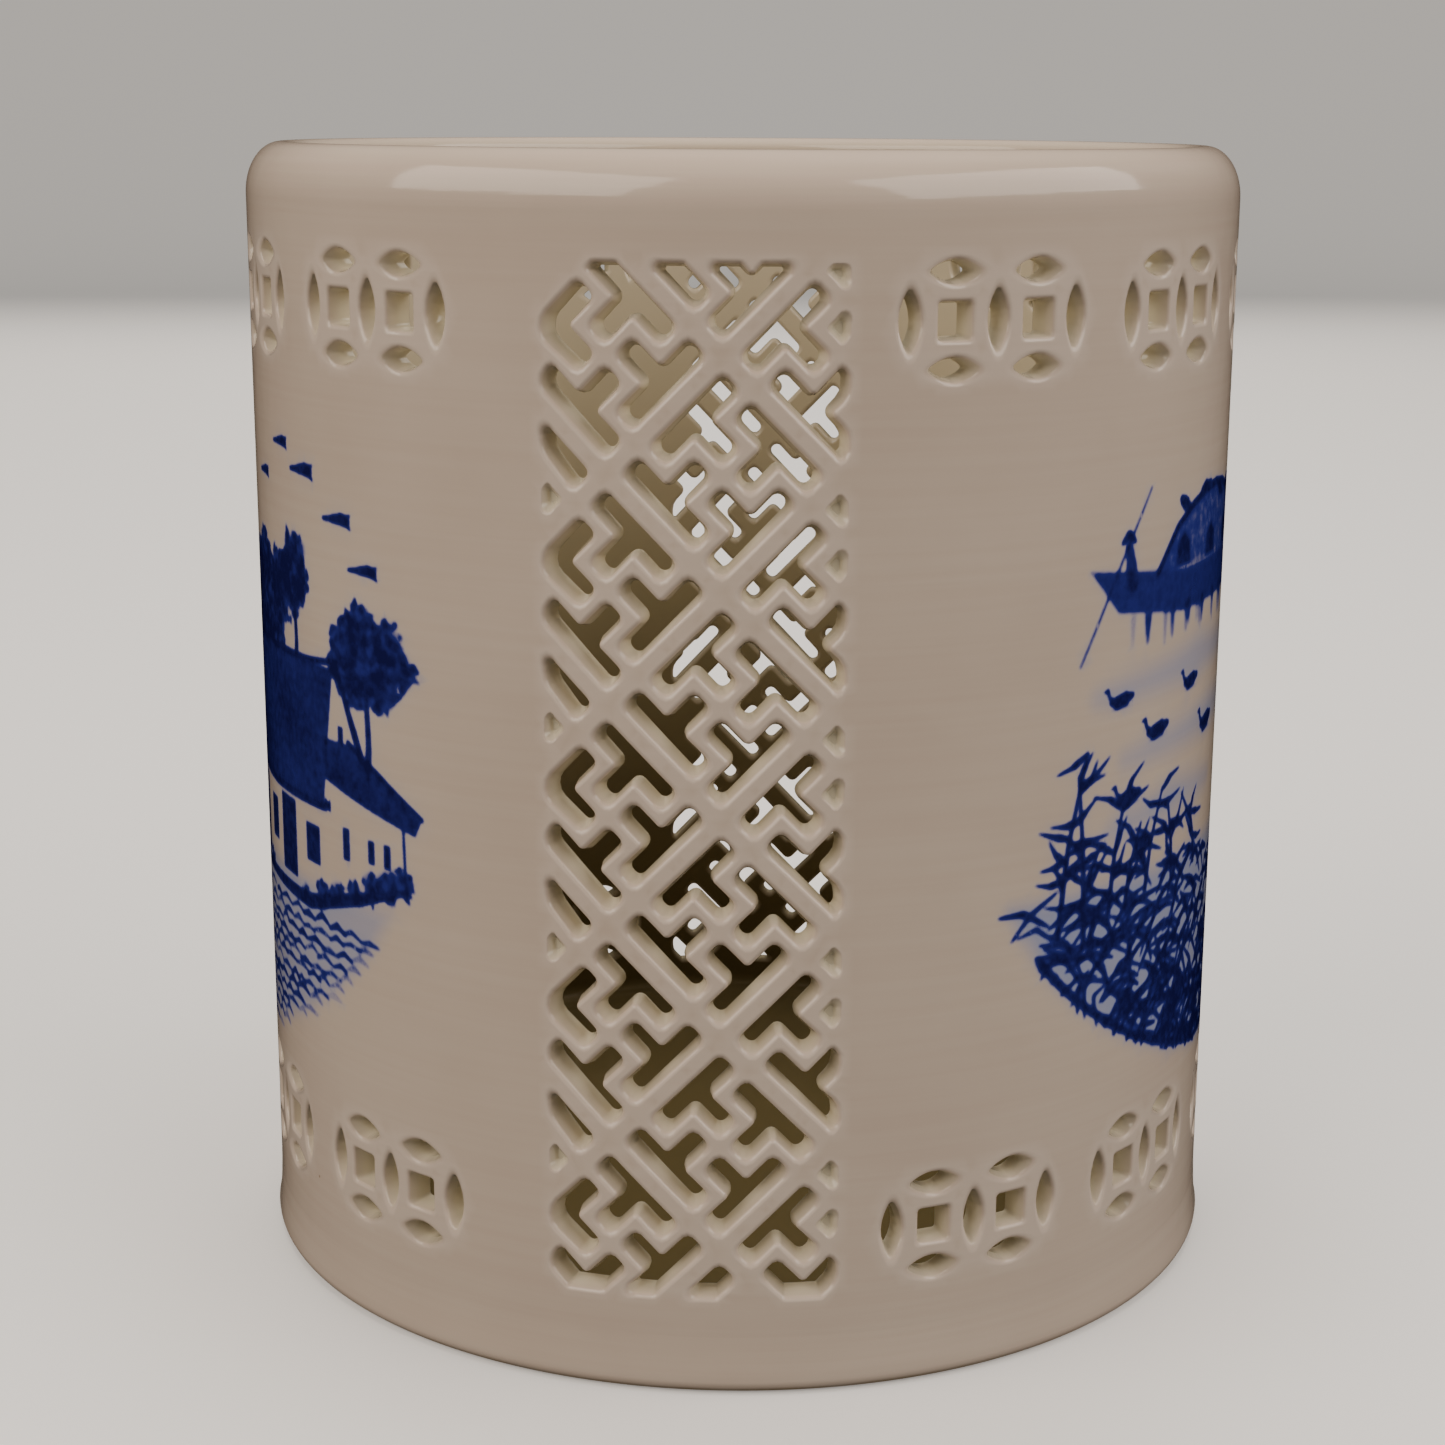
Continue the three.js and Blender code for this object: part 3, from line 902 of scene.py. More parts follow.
    def foliage(self, clumps, leaf, strength, fill):
        """Clumps of leaves, (across, up, radius), dabbed with the tip of the brush."""
        for across, up, radius in clumps:
            angles = np.linspace(0, 2 * math.pi, 15)[:-1]
            edge = radius * self.random.uniform(0.7, 0.95, len(angles))
            self.fill(np.stack([across + edge * np.cos(angles), up + edge * np.sin(angles)], 1),
                      fill, 1.2)
            for _ in range(int(9 * radius ** 1.6)):
                turn = self.random.uniform(0, 2 * math.pi)
                reach = radius * math.sqrt(self.random.uniform(0, 1))
                spot = np.array([across + reach * math.cos(turn), up + reach * math.sin(turn)])
                tip = spot + self.random.uniform(-0.6, 0.6, 2)
                self.stroke([spot, tip], [leaf, leaf * 0.5],
                            strength * self.random.uniform(0.45, 1.0), 0.35)

    def leaf(self, root, angle, length, width):
        """A pointed leaf that bends a little."""
        angle = math.radians(angle)
        along = np.array([math.cos(angle), math.sin(angle)])
        bend = np.array([-along[1], along[0]]) * length * self.random.uniform(-0.12, 0.12)
        root = np.asarray(root, float)
        self.stroke([root, root + along * length / 2 + bend, root + along * length],
                    [width * 0.45, width, width * 0.55, 0.15], 0.95)

    def settle(self):
        """Under the glaze the cobalt spreads by a tenth of a millimetre, with a faint halo."""
        def blurred(layer, cells):
            reach = np.arange(-3 * cells, 3 * cells + 1)
            weights = np.exp(-0.5 * (reach / cells) ** 2)
            weights /= weights.sum()
            padded = np.pad(layer, len(reach) // 2, mode="edge")
            rows = np.apply_along_axis(np.convolve, 1, padded, weights, "valid")
            return np.apply_along_axis(np.convolve, 0, rows, weights, "valid")

        halo = blurred(self.ink, 7)
        self.ink = blurred(self.ink, 1)
        self.wash = np.clip(blurred(self.wash, 2) + 0.3 * halo, 0, 1)
        for layer in (self.ink, self.wash):
            layer[[0, -1]] = 0
            layer[:, [0, -1]] = 0

    def sample(self, layer, points):
        at = (points - self.low) * self.PER_MM - 0.5
        column, row = at[:, 0], at[:, 1]
        inside = (column >= 0) & (row >= 0) & (column < self.size[1] - 1) & (
            row < self.size[0] - 1)
        values = np.zeros(len(points))
        i, j = np.floor(row[inside]).astype(int), np.floor(column[inside]).astype(int)
        u, v = column[inside] - j, row[inside] - i
        values[inside] = ((layer[i, j] * (1 - u) + layer[i, j + 1] * u) * (1 - v)
                          + (layer[i + 1, j] * (1 - u) + layer[i + 1, j + 1] * u) * v)
        return values

    def worked(self, points):
        """Which points lie within about a millimetre of any stroke."""
        block = self.PER_MM
        rows, columns = self.size[0] // block, self.size[1] // block
        busy = (self.ink + 0.3 * self.wash)[:rows * block, :columns * block]
        busy = busy.reshape(rows, block, columns, block).max((1, 3)) > 0.04
        at = np.floor((points - self.low) * self.PER_MM / block).astype(int)
        inside = (at >= 0).all(1) & (at[:, 1] < rows) & (at[:, 0] < columns)
        found = np.zeros(len(points), bool)
        found[inside] = busy[at[inside, 1], at[inside, 0]]
        return found

    def fine_points(self):
        """Points for the painted surface: close together along the edges of strokes, and
        wider apart inside them and between them."""
        high = self.low + np.array(self.size[::-1]) / self.PER_MM
        slope_up, slope_round = np.gradient(self.ink)
        edges = np.hypot(slope_up, slope_round) * self.PER_MM
        dense = grid_points(self.low, high, 0.27, 0.22)
        dense = dense[self.sample(edges, dense) > EDGE_CONTRAST]
        loose = grid_points(self.low, high, 0.8, 0.7)
        loose = loose[self.worked(loose) & (self.sample(edges, loose) <= EDGE_CONTRAST)]
        return np.concatenate([dense, loose])


# Both scenes are generic: a village and a river bank in the common manner of blue-and-white
# ware. Each fills an oval, and is put together from the motifs below.
SCENE_MIDDLE, SCENE_HALF_WIDTH, SCENE_HALF_HEIGHT = 63.0, 60.0, 38.0


def oval(up):
    """Half of the oval's width at a height."""
    level = (up - SCENE_MIDDLE) / SCENE_HALF_HEIGHT
    return SCENE_HALF_WIDTH * math.sqrt(max(0.0, 1 - level ** 2))


def ground(paint, bottom, top, strength):
    """A pale tint that fills the oval between two heights."""
    rises = np.linspace(bottom, top, 9)
    right = [(oval(up) - 1.5, up) for up in rises]
    left = [(1.5 - oval(up), up) for up in rises[::-1]]
    paint.fill(right + left, strength, 2.4, "wash")


def bird(paint, across, up, size):
    """A swallow seen small: a body that thickens to a forked tail."""
    place = np.array([across, up])
    body = np.array([(-1.0, 0.0), (-0.3, 0.05), (0.35, 0.1), (0.7, 0.05)]) * size + place
    paint.stroke(body, [0.12 * size, 0.3 * size, 0.5 * size, 0.46 * size], 0.98)
    fork = place + (0.5 * size, 0.1 * size)
    for tip, width in ((-0.25, 0.34), (0.3, 0.3)):
        paint.stroke([fork, place + (0.95 * size, tip * size)], [width * size, 0.1 * size], 0.9)


def tree(paint, across, foot, crown, spread):
    """A leaning trunk under a crown of leaf clumps, spread over its half width."""
    lobes = 7
    top = crown - 0.4 * spread
    paint.stroke([(across - 0.6, foot), (across + 0.3, (foot + top) / 2), (across, top)],
                 [1.3, 0.9, 0.7], 0.9)
    clumps = [(across, crown, 0.62 * spread)]
    for i in range(lobes):
        angle = 2 * math.pi * i / lobes + paint.random.uniform(-0.25, 0.25)
        reach = spread * paint.random.uniform(0.55, 0.85)
        clumps.append((across + reach * math.cos(angle), crown + 0.8 * reach * math.sin(angle),
                       spread * paint.random.uniform(0.32, 0.46)))
    paint.foliage(clumps, leaf=0.85, strength=0.85, fill=0.55)


def opening(paint, across, sill, width, height):
    """A dark window or doorway."""
    left, right = across - width / 2, across + width / 2
    paint.fill([(left, sill), (right, sill), (right, sill + height), (left, sill + height)],
               0.93, 0.3)


def hall(paint, left, right, ground_line, eaves, ridge, gable):
    """A tiled hall: white wall, roof with upturned eaves, and a white gable on its right."""
    corner = right + gable
    paint.spare([(left, ground_line), (corner, ground_line + 1.5), (corner, eaves),
                 (right + 0.35 * gable, ridge - 1), (right, ridge), (left, ridge)])
    paint.tiles([(left - 1.6, eaves - 0.5), (left + 2.2, ridge), (right + 0.3 * gable, ridge),
                 (right, eaves - 0.5)], 0.15)
    paint.stroke([(left + 1.4, ridge + 0.9), (left + 5, ridge + 0.2),
                  (right - 3, ridge + 0.2), (right + 0.45 * gable, ridge + 1)],
                 [0.7, 0.8, 0.8, 0.6], 0.95)
    paint.stroke([(left - 2.4, eaves), (left + 1, eaves - 0.8), ((left + right) / 2, eaves - 1),
                  (right, eaves - 0.9)], [0.5, 1.0, 1.2, 0.9], 0.95)
    # Gable: a tile course down its slope, a scalloped eave across it, and the wall's corner.
    paint.stroke([(right + 0.4 * gable, ridge + 0.4), (right + 0.75 * gable, (ridge + eaves) / 2 + 1),
                  (corner + 1.2, eaves + 1.4)], [0.6, 1.1, 0.6], 0.95)
    paint.stroke([(right - 0.5, eaves - 0.8), (right + gable / 2, eaves - 0.2),
                  (corner + 1, eaves + 1.2)], [0.9, 1.1, 0.6], 0.95)
    for i in range(round(gable / 0.95)):
        share = (i + 0.5) / round(gable / 0.95)
        level = eaves - 0.6 + 1.4 * share ** 2
        paint.stroke([(right + gable * share, level + 0.6), (right + gable * share, level - 0.6)],
                     [0.35, 0.3], 0.9)
    paint.stroke([(corner, eaves), (corner + 0.2, ground_line + 1.5)], [0.4, 0.35], 0.85)
    opening(paint, right + 0.45 * gable, (eaves + ridge) / 2 - 0.6, 0.9, 2.0)


def lean_to(paint, left, right, ground_line, eaves, top):
    """A low wing against a hall, its roof falling to the right, with two narrow windows."""
    paint.spare([(left, ground_line), (right - 1, ground_line + 1.2), (right - 1, eaves),
                 (left, top)])
    paint.tiles([(left - 1, eaves + 1), (left - 1, top), (left + 5, top + 0.2),
                 (right + 1.6, eaves - 0.8), (right + 0.8, eaves - 2.6)], -0.5, 0.97)
    paint.stroke([(left + 4, top + 0.4), ((left + right) / 2 + 2, (top + eaves) / 2 + 0.6),
                  (right + 1.8, eaves - 0.6)], [0.6, 0.7, 0.5], 0.95)
    paint.stroke([(right - 1, eaves - 2), (right - 0.8, ground_line + 1)], [0.35, 0.35], 0.85)
    for across in (0.55, 0.74):
        opening(paint, left + (right - left) * across, ground_line + 3, 1.0, 2.6)


def bridge(paint, left, right, level, rise):
    """An arched footbridge with a handrail on posts."""
    shares = np.linspace(0, 1, 9)
    deck = np.stack([left + (right - left) * shares,
                     level + rise * np.sin(math.pi * shares)], 1)
    paint.stroke(deck, [0.9, 1.3, 0.9], 0.93)
    paint.stroke(deck - (0, 2.6), [0.5, 0.6, 0.5], 0.8)
    paint.stroke(deck + (0, 3.0), [0.35, 0.4, 0.35], 0.85)
    for foot in deck:
        paint.stroke([foot, foot + (0, 3.0)], [0.4, 0.3], 0.85)


def hills(paint, left, right, level, height):
    """Far hills: a soft rolling outline over a pale tint."""
    shares = np.linspace(0, 1, 21)
    rolling = 0.5 + 0.34 * np.sin(10 * shares + 0.4) + 0.16 * np.sin(23 * shares)
    crest = np.stack([left + (right - left) * shares,
                      level + height * rolling * np.sin(math.pi * shares) ** 0.5], 1)
    paint.stroke(crest, [0.3, 0.8, 0.5, 0.9, 0.3], 0.4, 0.6)
    paint.stroke(crest - (0, 2.6), [2.5, 4.5, 3, 4, 2], 0.35, 3.0, "wash")


def ripples(paint, bottom, top):
    """Rows of short arched strokes, as a pebbled bank or water, that fade at the oval."""
    for row in np.arange(bottom, top, 1.4):
        limit = oval(row) - 1
        across = -limit + paint.random.uniform(0, 2)
        while across < limit:
            length = paint.random.uniform(2.4, 4.4)
            rise = paint.random.uniform(0.25, 0.8)
            z = row + paint.random.uniform(-0.3, 0.3)
            fade = min(1.0, (limit - abs(across)) / 7 + 0.35)
            paint.stroke([(across, z), (across + length / 2, z + rise), (across + length, z)],
                         [0.35, paint.random.uniform(0.6, 1.05), 0.35],
                         paint.random.uniform(0.55, 0.9) * fade, 0.4)
            across += length * paint.random.uniform(0.8, 1.15)


def boat(paint, bow, stern, water, height):
    """A sampan with its bow on the left: dark hull, arched mat roof, its arches and cargo."""
    length = stern - bow
    hull = [(bow, water + 0.5 * height), (bow + 0.08 * length, water + 0.12 * height),
            (bow + 0.3 * length, water), (bow + 0.75 * length, water),
            (stern - 0.05 * length, water + 0.25 * height), (stern, water + 0.62 * height),
            (bow + 0.7 * length, water + 0.38 * height),
            (bow + 0.3 * length, water + 0.36 * height)]
    paint.fill(hull, 0.66, 0.6)
    shares = np.linspace(0, 1, 9)
    roof = np.stack([bow + length * (0.2 + 0.55 * shares),
                     water + height * (0.38 + 0.62 * np.sin(math.pi * shares) ** 0.6)], 1)
    paint.fill(roof, 0.46, 0.6)
    paint.stroke(roof, [0.8, 1.0, 0.8], 0.95)
    for share in (0.3, 0.45, 0.6):
        middle = np.array([bow + length * share, water + 0.4 * height])
        arch = [(-1.9, 0), (1.9, 0), (1.6, 2.4), (0, 3.6), (-1.6, 2.4)]
        paint.fill(middle + np.array(arch), 0.95, 0.6)
    for share in (0.28, 0.38, 0.5, 0.6, 0.68):
        top = np.array([bow + length * share, water + 0.96 * height])
        paint.leaf(top, paint.random.uniform(-25, 25), 3.8, 1.7)
    for i in range(round(length / 1.6)):
        across = bow + length * paint.random.uniform(0.1, 0.9)
        paint.stroke([(across, water + 0.4), (across, water - paint.random.uniform(1, 3))],
                     [1.1, 0.4], paint.random.uniform(0.2, 0.45), 0.8)


def boatman(paint, across, deck):
    """A tiny figure in a round hat who leans on a long pole."""
    paint.stroke([(across, deck), (across - 0.3, deck + 2), (across - 0.8, deck + 4)],
                 [2.0, 1.8, 1.2], 0.75, 0.5)
    paint.stroke([(across - 2, deck + 4.5), (across - 0.9, deck + 5.3), (across + 0.3, deck + 4.5)],
                 [0.4, 1.2, 0.4], 0.97)
    paint.stroke([(across - 8, deck - 8), (across - 2, deck + 2.5), (across + 3, deck + 10)],
                 [0.4, 0.45, 0.35], 0.6)


def duck(paint, across, up, size):
    """A duck on the water: a dark body with a lifted tail and a thin neck."""
    place = np.array([across, up])
    body = np.array([(-0.95, -0.02), (-0.4, -0.1), (0.3, 0.02), (0.95, 0.14)]) * size + place
    paint.stroke(body, [0.2 * size, 0.7 * size, 0.75 * size, 0.2 * size], 0.97)
    neck = np.array([(-0.75, 0.05), (-1.05, 0.25), (-1.2, 0.62), (-1.5, 0.6)]) * size + place
    paint.stroke(neck, [0.3 * size, 0.18 * size, 0.26 * size, 0.1], 0.92)
    paint.stroke([place + (-0.8 * size, -0.45 * size), place + (0.9 * size, -0.4 * size)],
                 [0.2, 0.35, 0.2], 0.35, 0.5)


def reed(paint, across, up, height, leaves):
    """A bending stem with pointed leaves that fan out from its joints."""
    bend = paint.random.uniform(-0.35, 0.35) * height
    stem = np.array([(across, up), (across + 0.3 * bend, up + height / 2),
                     (across + bend, up + height)])
    paint.stroke(stem, [0.75, 0.6, 0.35], 0.92)
    for _ in range(leaves):
        share = paint.random.uniform(0.15, 1.0)
        root = (across + bend * share ** 1.5, up + height * share)
        angle = paint.random.choice([-1, 1]) * paint.random.uniform(20, 115) + 90
        paint.leaf(root, angle, paint.random.uniform(3.2, 6.4), 0.85)


def grass(paint, bottom, top, count):
    """A dense bank of crossing blades, kept within the oval."""
    for _ in range(count):
        up = paint.random.uniform(bottom, top)
        reach = oval(up) - 2.5
        across = paint.random.uniform(-reach, reach)
        angle = math.radians(paint.random.normal(24, 22)) * paint.random.choice([-1, 1])
        run = np.array([math.cos(angle), math.sin(angle)]) * paint.random.uniform(4, 8.5)
        blade = np.array([(across, up) - run / 2, (across, up + paint.random.uniform(0.3, 1.5)),
                          (across, up) + run / 2])
        limits = np.array([oval(z) for z in blade[:, 1]])
        blade[:, 0] = np.clip(blade[:, 0], -limits, limits)
        paint.stroke(blade, [0.25, paint.random.uniform(0.65, 1.0), 0.3],
                     paint.random.uniform(0.75, 0.98), 0.35)


def shoreline(paint, bottom, top):
    """Trims a bank to the lower part of the oval and gives it a dark edge."""
    rises = np.concatenate([np.linspace(top, bottom, 12), np.linspace(bottom, top, 12)])
    sides = np.concatenate([-np.ones(12), np.ones(12)])
    edge = np.array([(side * (oval(up) - 1.2), up + 0.6) for side, up in zip(sides, rises)])
    rows = paint.up < top
    limits = np.array([oval(up) for up in paint.up[rows]])[:, None]
    paint.ink[rows] *= np.clip((limits - np.abs(paint.across)) / 0.6 + 0.5, 0, 1)
    for start, end in zip(edge, edge[1:]):
        width = paint.random.uniform(1.0, 1.5)
        paint.stroke([start, (start + end) / 2, end], [0.8, width, 0.8], 0.92, 0.5)


# Village: two halls with a low wing each, among trees, over a pebbled bank, with a footbridge
# and far hills on the left and swallows above.
village = Painting(4)
hills(village, -58, -34, 73, 8)
for across, foot, crown, spread in (
        (26, 70, 80, 8.5), (12, 66, 79, 8), (36, 70, 84, 4.6), (51, 60, 76.5, 6.6),
        (-2, 62, 74, 6.5), (-36, 50, 66, 7.5), (-16, 64, 78, 7), (-27, 60, 76, 5.5)):
    tree(village, across, foot, crown, spread)
hall(village, 12, 42, 47.5, 59.5, 74.5, 9)
lean_to(village, 43.5, 57.5, 51, 61, 66.5)
hall(village, -30, -10, 49, 59.5, 70, 7)
lean_to(village, -2.5, 8.5, 50, 58.5, 63)
for across, sill, width, height in (
        (18, 48, 4.6, 9.5), (25, 51, 3.2, 5), (31.5, 48.5, 5.2, 9), (39, 51.5, 3.4, 4.4),
        (46.6, 53.5, 1.2, 3.6), (-25, 52, 2.8, 4.6), (-18.5, 49.5, 4.2, 7.6),
        (-12.5, 52, 2.4, 4.6)):
    opening(village, across, sill, width, height)
for across, up, radius in (
        (56, 52.8, 1.7), (53.6, 52, 1.9), (51, 51.4, 1.6), (48, 50.2, 1.3), (44.4, 49.3, 1.5),
        (41.2, 48.3, 1.7), (36.6, 47.2, 1.3), (22, 47.4, 1.5), (8, 49, 1.9), (4, 48.6, 1.5),
        (-6, 48.4, 1.9), (-14, 48.2, 1.4), (-22, 48.8, 1.6), (-31, 48, 1.8)):
    village.foliage([(across, up, radius)], leaf=0.6, strength=0.9, fill=0.5)
bridge(village, -56, -36, 46.5, 3.6)
ground(village, 26, 49, 0.5)
village.stroke([(57, 52), (50, 49.8), (38, 46.6), (24, 46.8), (6, 47), (-14, 46.8), (-36, 47)],
               [0.5, 1.4, 1.8, 1.2, 1.7, 1.2, 0.6], 0.92)
ripples(village, 26.5, 46)
for across, up, size in ((39, 95.5, 2.9), (46.5, 91, 2.7), (33, 98, 2.3), (51, 86, 2.5),
                         (26, 94, 2.2), (6, 92, 2.5), (-4, 95, 2.3), (-12, 90, 2.0)):
    bird(village, across, up, size)
village.settle()

# River: a sampan, ducks and far hills on pale water, and a bank of crossed grass with taller
# reeds towards both ends.
river = Painting(3)
for across, up, width, height in ((-22, 74, 44, 5), (-16, 66.5, 46, 4.5), (-28, 59, 26, 4),
                                  (22, 72, 48, 5), (24, 61, 40, 4.5)):
    river.stroke([(across - width / 2, up - 0.8), (across, up + 0.6), (across + width / 2, up)],
                 [1.5, height, 1.5], 0.5, 3.0, "wash")
hills(river, 22, 56, 77, 5)
boat(river, -46, 14, 80.5, 13)
boatman(river, -39, 85)
for across, up, size in ((-40, 72.5, 2.1), (-32.5, 68, 2.4), (-24, 72, 2.2), (-38, 61.5, 2.2),
                         (-17, 66, 2.7), (-4, 70.5, 2.3), (6, 65.5, 2.5), (20, 69, 2.2)):
    duck(river, across, up, size)
ground(river, 26, 52, 0.62)
grass(river, 27.5, 51, 760)
shoreline(river, 26.5, 45)
for across, up, height, leaves in (
        (-45, 46, 19, 12), (-49, 47.5, 20, 11), (-41, 49, 13, 9), (-34, 50, 11, 9),
        (-27.5, 50, 9, 8), (-38, 49, 9, 8), (-20, 50, 7, 7),
        (44, 47, 18, 11), (39, 49, 13, 9), (48, 50, 14, 9), (30, 50, 8, 7)):
    reed(river, across, up, height, leaves)
for across, up, size in ((28, 92, 2.4), (37, 95, 2.1), (44, 90, 1.9)):
    bird(river, across, up, size)
river.settle()

half_wall("wall_river_side", 0.0, river)
half_wall("wall_village_side", math.pi, village)


# ---- Lattice panels ----
# Front and back, a fret of straight diagonal bars with stepped strands between them, carved
# through the leather-hard wall. The glaze has softened every edge into a round.
BAR, STRAND, SLOT = 3.0, 2.2, 1.75
CARVED_HALF = 15.1
CARVED_BOTTOM, CARVED_TOP = 11.4, 118.9
CROSSING = (2.95, 16.42)  # middle of the panel's lowest bar crossing
SLOT_EDGE = carved_edge(0.6, 0.36, 1.9, 4)
SLOT_LIP = SLOT_EDGE[0][0]
DENT_EDGE = carved_edge(0.25, 0.5, 0.8)
DENT_LIP = DENT_EDGE[0][0]
SLOT_INNER_LIP = 0.6
SLOT_CORNER, DENT_CORNER, CLAY_CORNER = 0.8, 0.3, 0.95  # roundings
SHORTEST_HOOK, HOOK_TRIM = 1.2, 0.9
ACUTE = math.radians(100)  # a corner at the panel's side is left crisp past this turn
SMALLEST_PIERCING = 5.0  # clipped slots smaller than this are only dents
SMALLEST_DENT = 0.7  # and those smaller than this are left out
DENT_SHARE, DENT_DEPTH = 0.7, 1.0  # how much of its outline a dent fills, and how deep it is


def clipped(polygon, axis, limit, sign):
    """The parts of a polygon on one side of an upright or level line."""
    side = sign * (polygon[:, axis] - limit)
    if (side > -1e-9).all():
        return [polygon]
    if (side < 1e-9).all():
        return []
    chains, chain = [], None
    count = len(polygon)
    start = next(i for i in range(count) if side[i - 1] <= 0 < side[i])
    for step in range(count + 1):
        i = (start + step) % count
        before, after = side[i - 1], side[i]
        if (before > 0) != (after > 0):
            share = before / (before - after)
            cut = polygon[i - 1] + (polygon[i] - polygon[i - 1]) * share
            if after > 0:
                if step == count:
                    break
                chain = [cut, polygon[i]]
            else:
                chain.append(cut)
                chains.append(chain)
                chain = None
        elif after > 0 and step < count:
            chain.append(polygon[i])
    other = 1 - axis
    ends = sorted((point[other], index, place) for index, chain in enumerate(chains)
                  for place, point in ((0, chain[0]), (1, chain[-1])))
    partner = {}
    for first, second in zip(ends[::2], ends[1::2]):
        partner[first[1:]] = second[1:]
        partner[second[1:]] = first[1:]
    parts, used = [], set()
    for index in range(len(chains)):
        if index in used:
            continue
        points, at = [], index
        while at not in used:
            used.add(at)
            points += chains[at]
            at = partner[(at, 1)][0]
        parts.append(np.array(points))
    return parts


def area(polygon):
    """In square millimetres, for an outline that runs anticlockwise."""
    x, y = polygon.T
    return 0.5 * (x @ np.roll(y, -1) - y @ np.roll(x, -1))


def slot_outlines():
    """Every slot of the fret, clipped to the carved window. Each cell between the bars has
    four T-shaped slots, a quarter turn apart, and neighbouring columns are mirror images."""
    stem = STRAND / 2 + SLOT
    shoulder = stem + STRAND
    bar = shoulder + SLOT
    tee = np.array([
        (-stem, bar), (-stem, shoulder), (STRAND / 2, shoulder), (STRAND / 2, STRAND / 2),
        (stem, STRAND / 2), (stem, shoulder), (bar, shoulder), (bar, bar)])
    half = (BAR + 2 * bar) / math.sqrt(2)
    found = []
    for column in range(-3, 4):
        for row in range(-2, 11):
            if (column + row) % 2 == 0:
                continue
            hand = 1 if column % 2 == 0 else -1
            for turn in range(4):
                c, s = [(1, 0), (0, 1), (-1, 0), (0, -1)][turn]
                u = hand * (tee[:, 0] * c + tee[:, 1] * s)
                v = tee[:, 1] * c - tee[:, 0] * s
                parts = [np.stack([
                    CROSSING[0] + column * half + (u - v) / math.sqrt(2),
                    CROSSING[1] + row * half + (u + v) / math.sqrt(2)], 1)]
                if hand < 0:
                    parts = [parts[0][::-1]]
                for axis, limit, sign in ((0, -CARVED_HALF, 1), (0, CARVED_HALF, -1),
                                          (1, CARVED_BOTTOM, 1), (1, CARVED_TOP, -1)):
                    parts = [cut for part in parts for cut in clipped(part, axis, limit, sign)]
                found += parts
    return found


def carvable(polygon):
    """Drops doubled points, and the inner corner of a hook too short for the knife, whose
    end then draws back along the panel's side to leave the strand beside it whole."""
    polygon = polygon[np.linalg.norm(polygon - np.roll(polygon, 1, 0), axis=1) > 0.05]
    along, onward = polygon - np.roll(polygon, 1, 0), np.roll(polygon, -1, 0) - polygon
    shorter = np.minimum(np.linalg.norm(along, axis=1), np.linalg.norm(onward, axis=1))
    inner = along[:, 0] * onward[:, 1] - along[:, 1] * onward[:, 0] < 0
    hooked = inner & (shorter < SHORTEST_HOOK)
    for step, edges in ((-1, along), (1, onward)):
        for i in np.flatnonzero(hooked & (np.linalg.norm(edges, axis=1) < SHORTEST_HOOK)):
            end, beyond = (i + step) % len(polygon), (i + 2 * step) % len(polygon)
            way = polygon[beyond] - polygon[end]
            polygon[end] += way * min(0.5, HOOK_TRIM / np.linalg.norm(way))
    return polygon[~hooked]


def lattice_panel(name, turn, cad_node):
    flat = FlatPiece()
    border = outline_through([
        (-WINDOW_HALF, WINDOW_BOTTOM), (WINDOW_HALF, WINDOW_BOTTOM),
        (WINDOW_HALF, WINDOW_TOP), (-WINDOW_HALF, WINDOW_TOP)])
    outer_loops, inner_loops = [], []
    for polygon in slot_outlines():
        polygon = carvable(polygon)
        if len(polygon) < 3:
            continue
        size = area(polygon)
        if size < SMALLEST_DENT:
            continue
        pierced = size > SMALLEST_PIERCING
        lip = SLOT_LIP if pierced else DENT_LIP
        scored = np.full(len(polygon), math.inf)
        scored[np.isclose(np.abs(polygon[:, 0]), CARVED_HALF)] = ACUTE
        level = polygon[:, 1]
        scored[np.isclose(level, CARVED_BOTTOM) | np.isclose(level, CARVED_TOP)] = 0.0
        if not pierced:
            middle = polygon.mean(0)
            polygon = middle + (polygon - middle) * DENT_SHARE
        corner = SLOT_CORNER if pierced else DENT_CORNER
        loop, away = rounded(polygon, corner, CLAY_CORNER, lip, scored=scored)
        if pierced:
            flat.mouth(loop, away, SLOT_EDGE, SLOT_INNER_LIP)
            inner_loops.append(loop + away * SLOT_INNER_LIP)
        else:
            flat.mouth(loop, away, DENT_EDGE, 0.0, depth=DENT_DEPTH)
        outer_loops.append(loop + away * lip)
    grid = grid_points((-WINDOW_HALF, WINDOW_BOTTOM), (WINDOW_HALF, WINDOW_TOP), 1.3, 1.2)
    grid = off_border(grid, border, 0.5)
    for loops, inner in ((outer_loops, False), (inner_loops, True)):
        flat.sheet(*triangulate(border, loops, clear_of(grid, loops, 0.45)), inner)
    flat.edge(border)
    panel = linked(name, flat.mesh(name))
    add_modifier(panel, WRAP, {**WRAP_SIZES, "Turn": turn, "Material": PLAIN_PORCELAIN})
    piece = baked(panel, name)
    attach(piece, "root")
    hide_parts(cad_node)


lattice_panel("fret_panel_front", 0.0, "lattice_panel_front")
lattice_panel("fret_panel_back", math.pi, "lattice_panel_back")
bpy.data.objects.remove(COIN_TILE)


# ---- Lip, floor and foot ----
# Turned rings. The lip is a thick coil, rounded over with a wet sponge; the floor is a disc
# with a cove where it meets the wall; the foot ring is wiped bare of glaze before firing.
DEGREES = 360


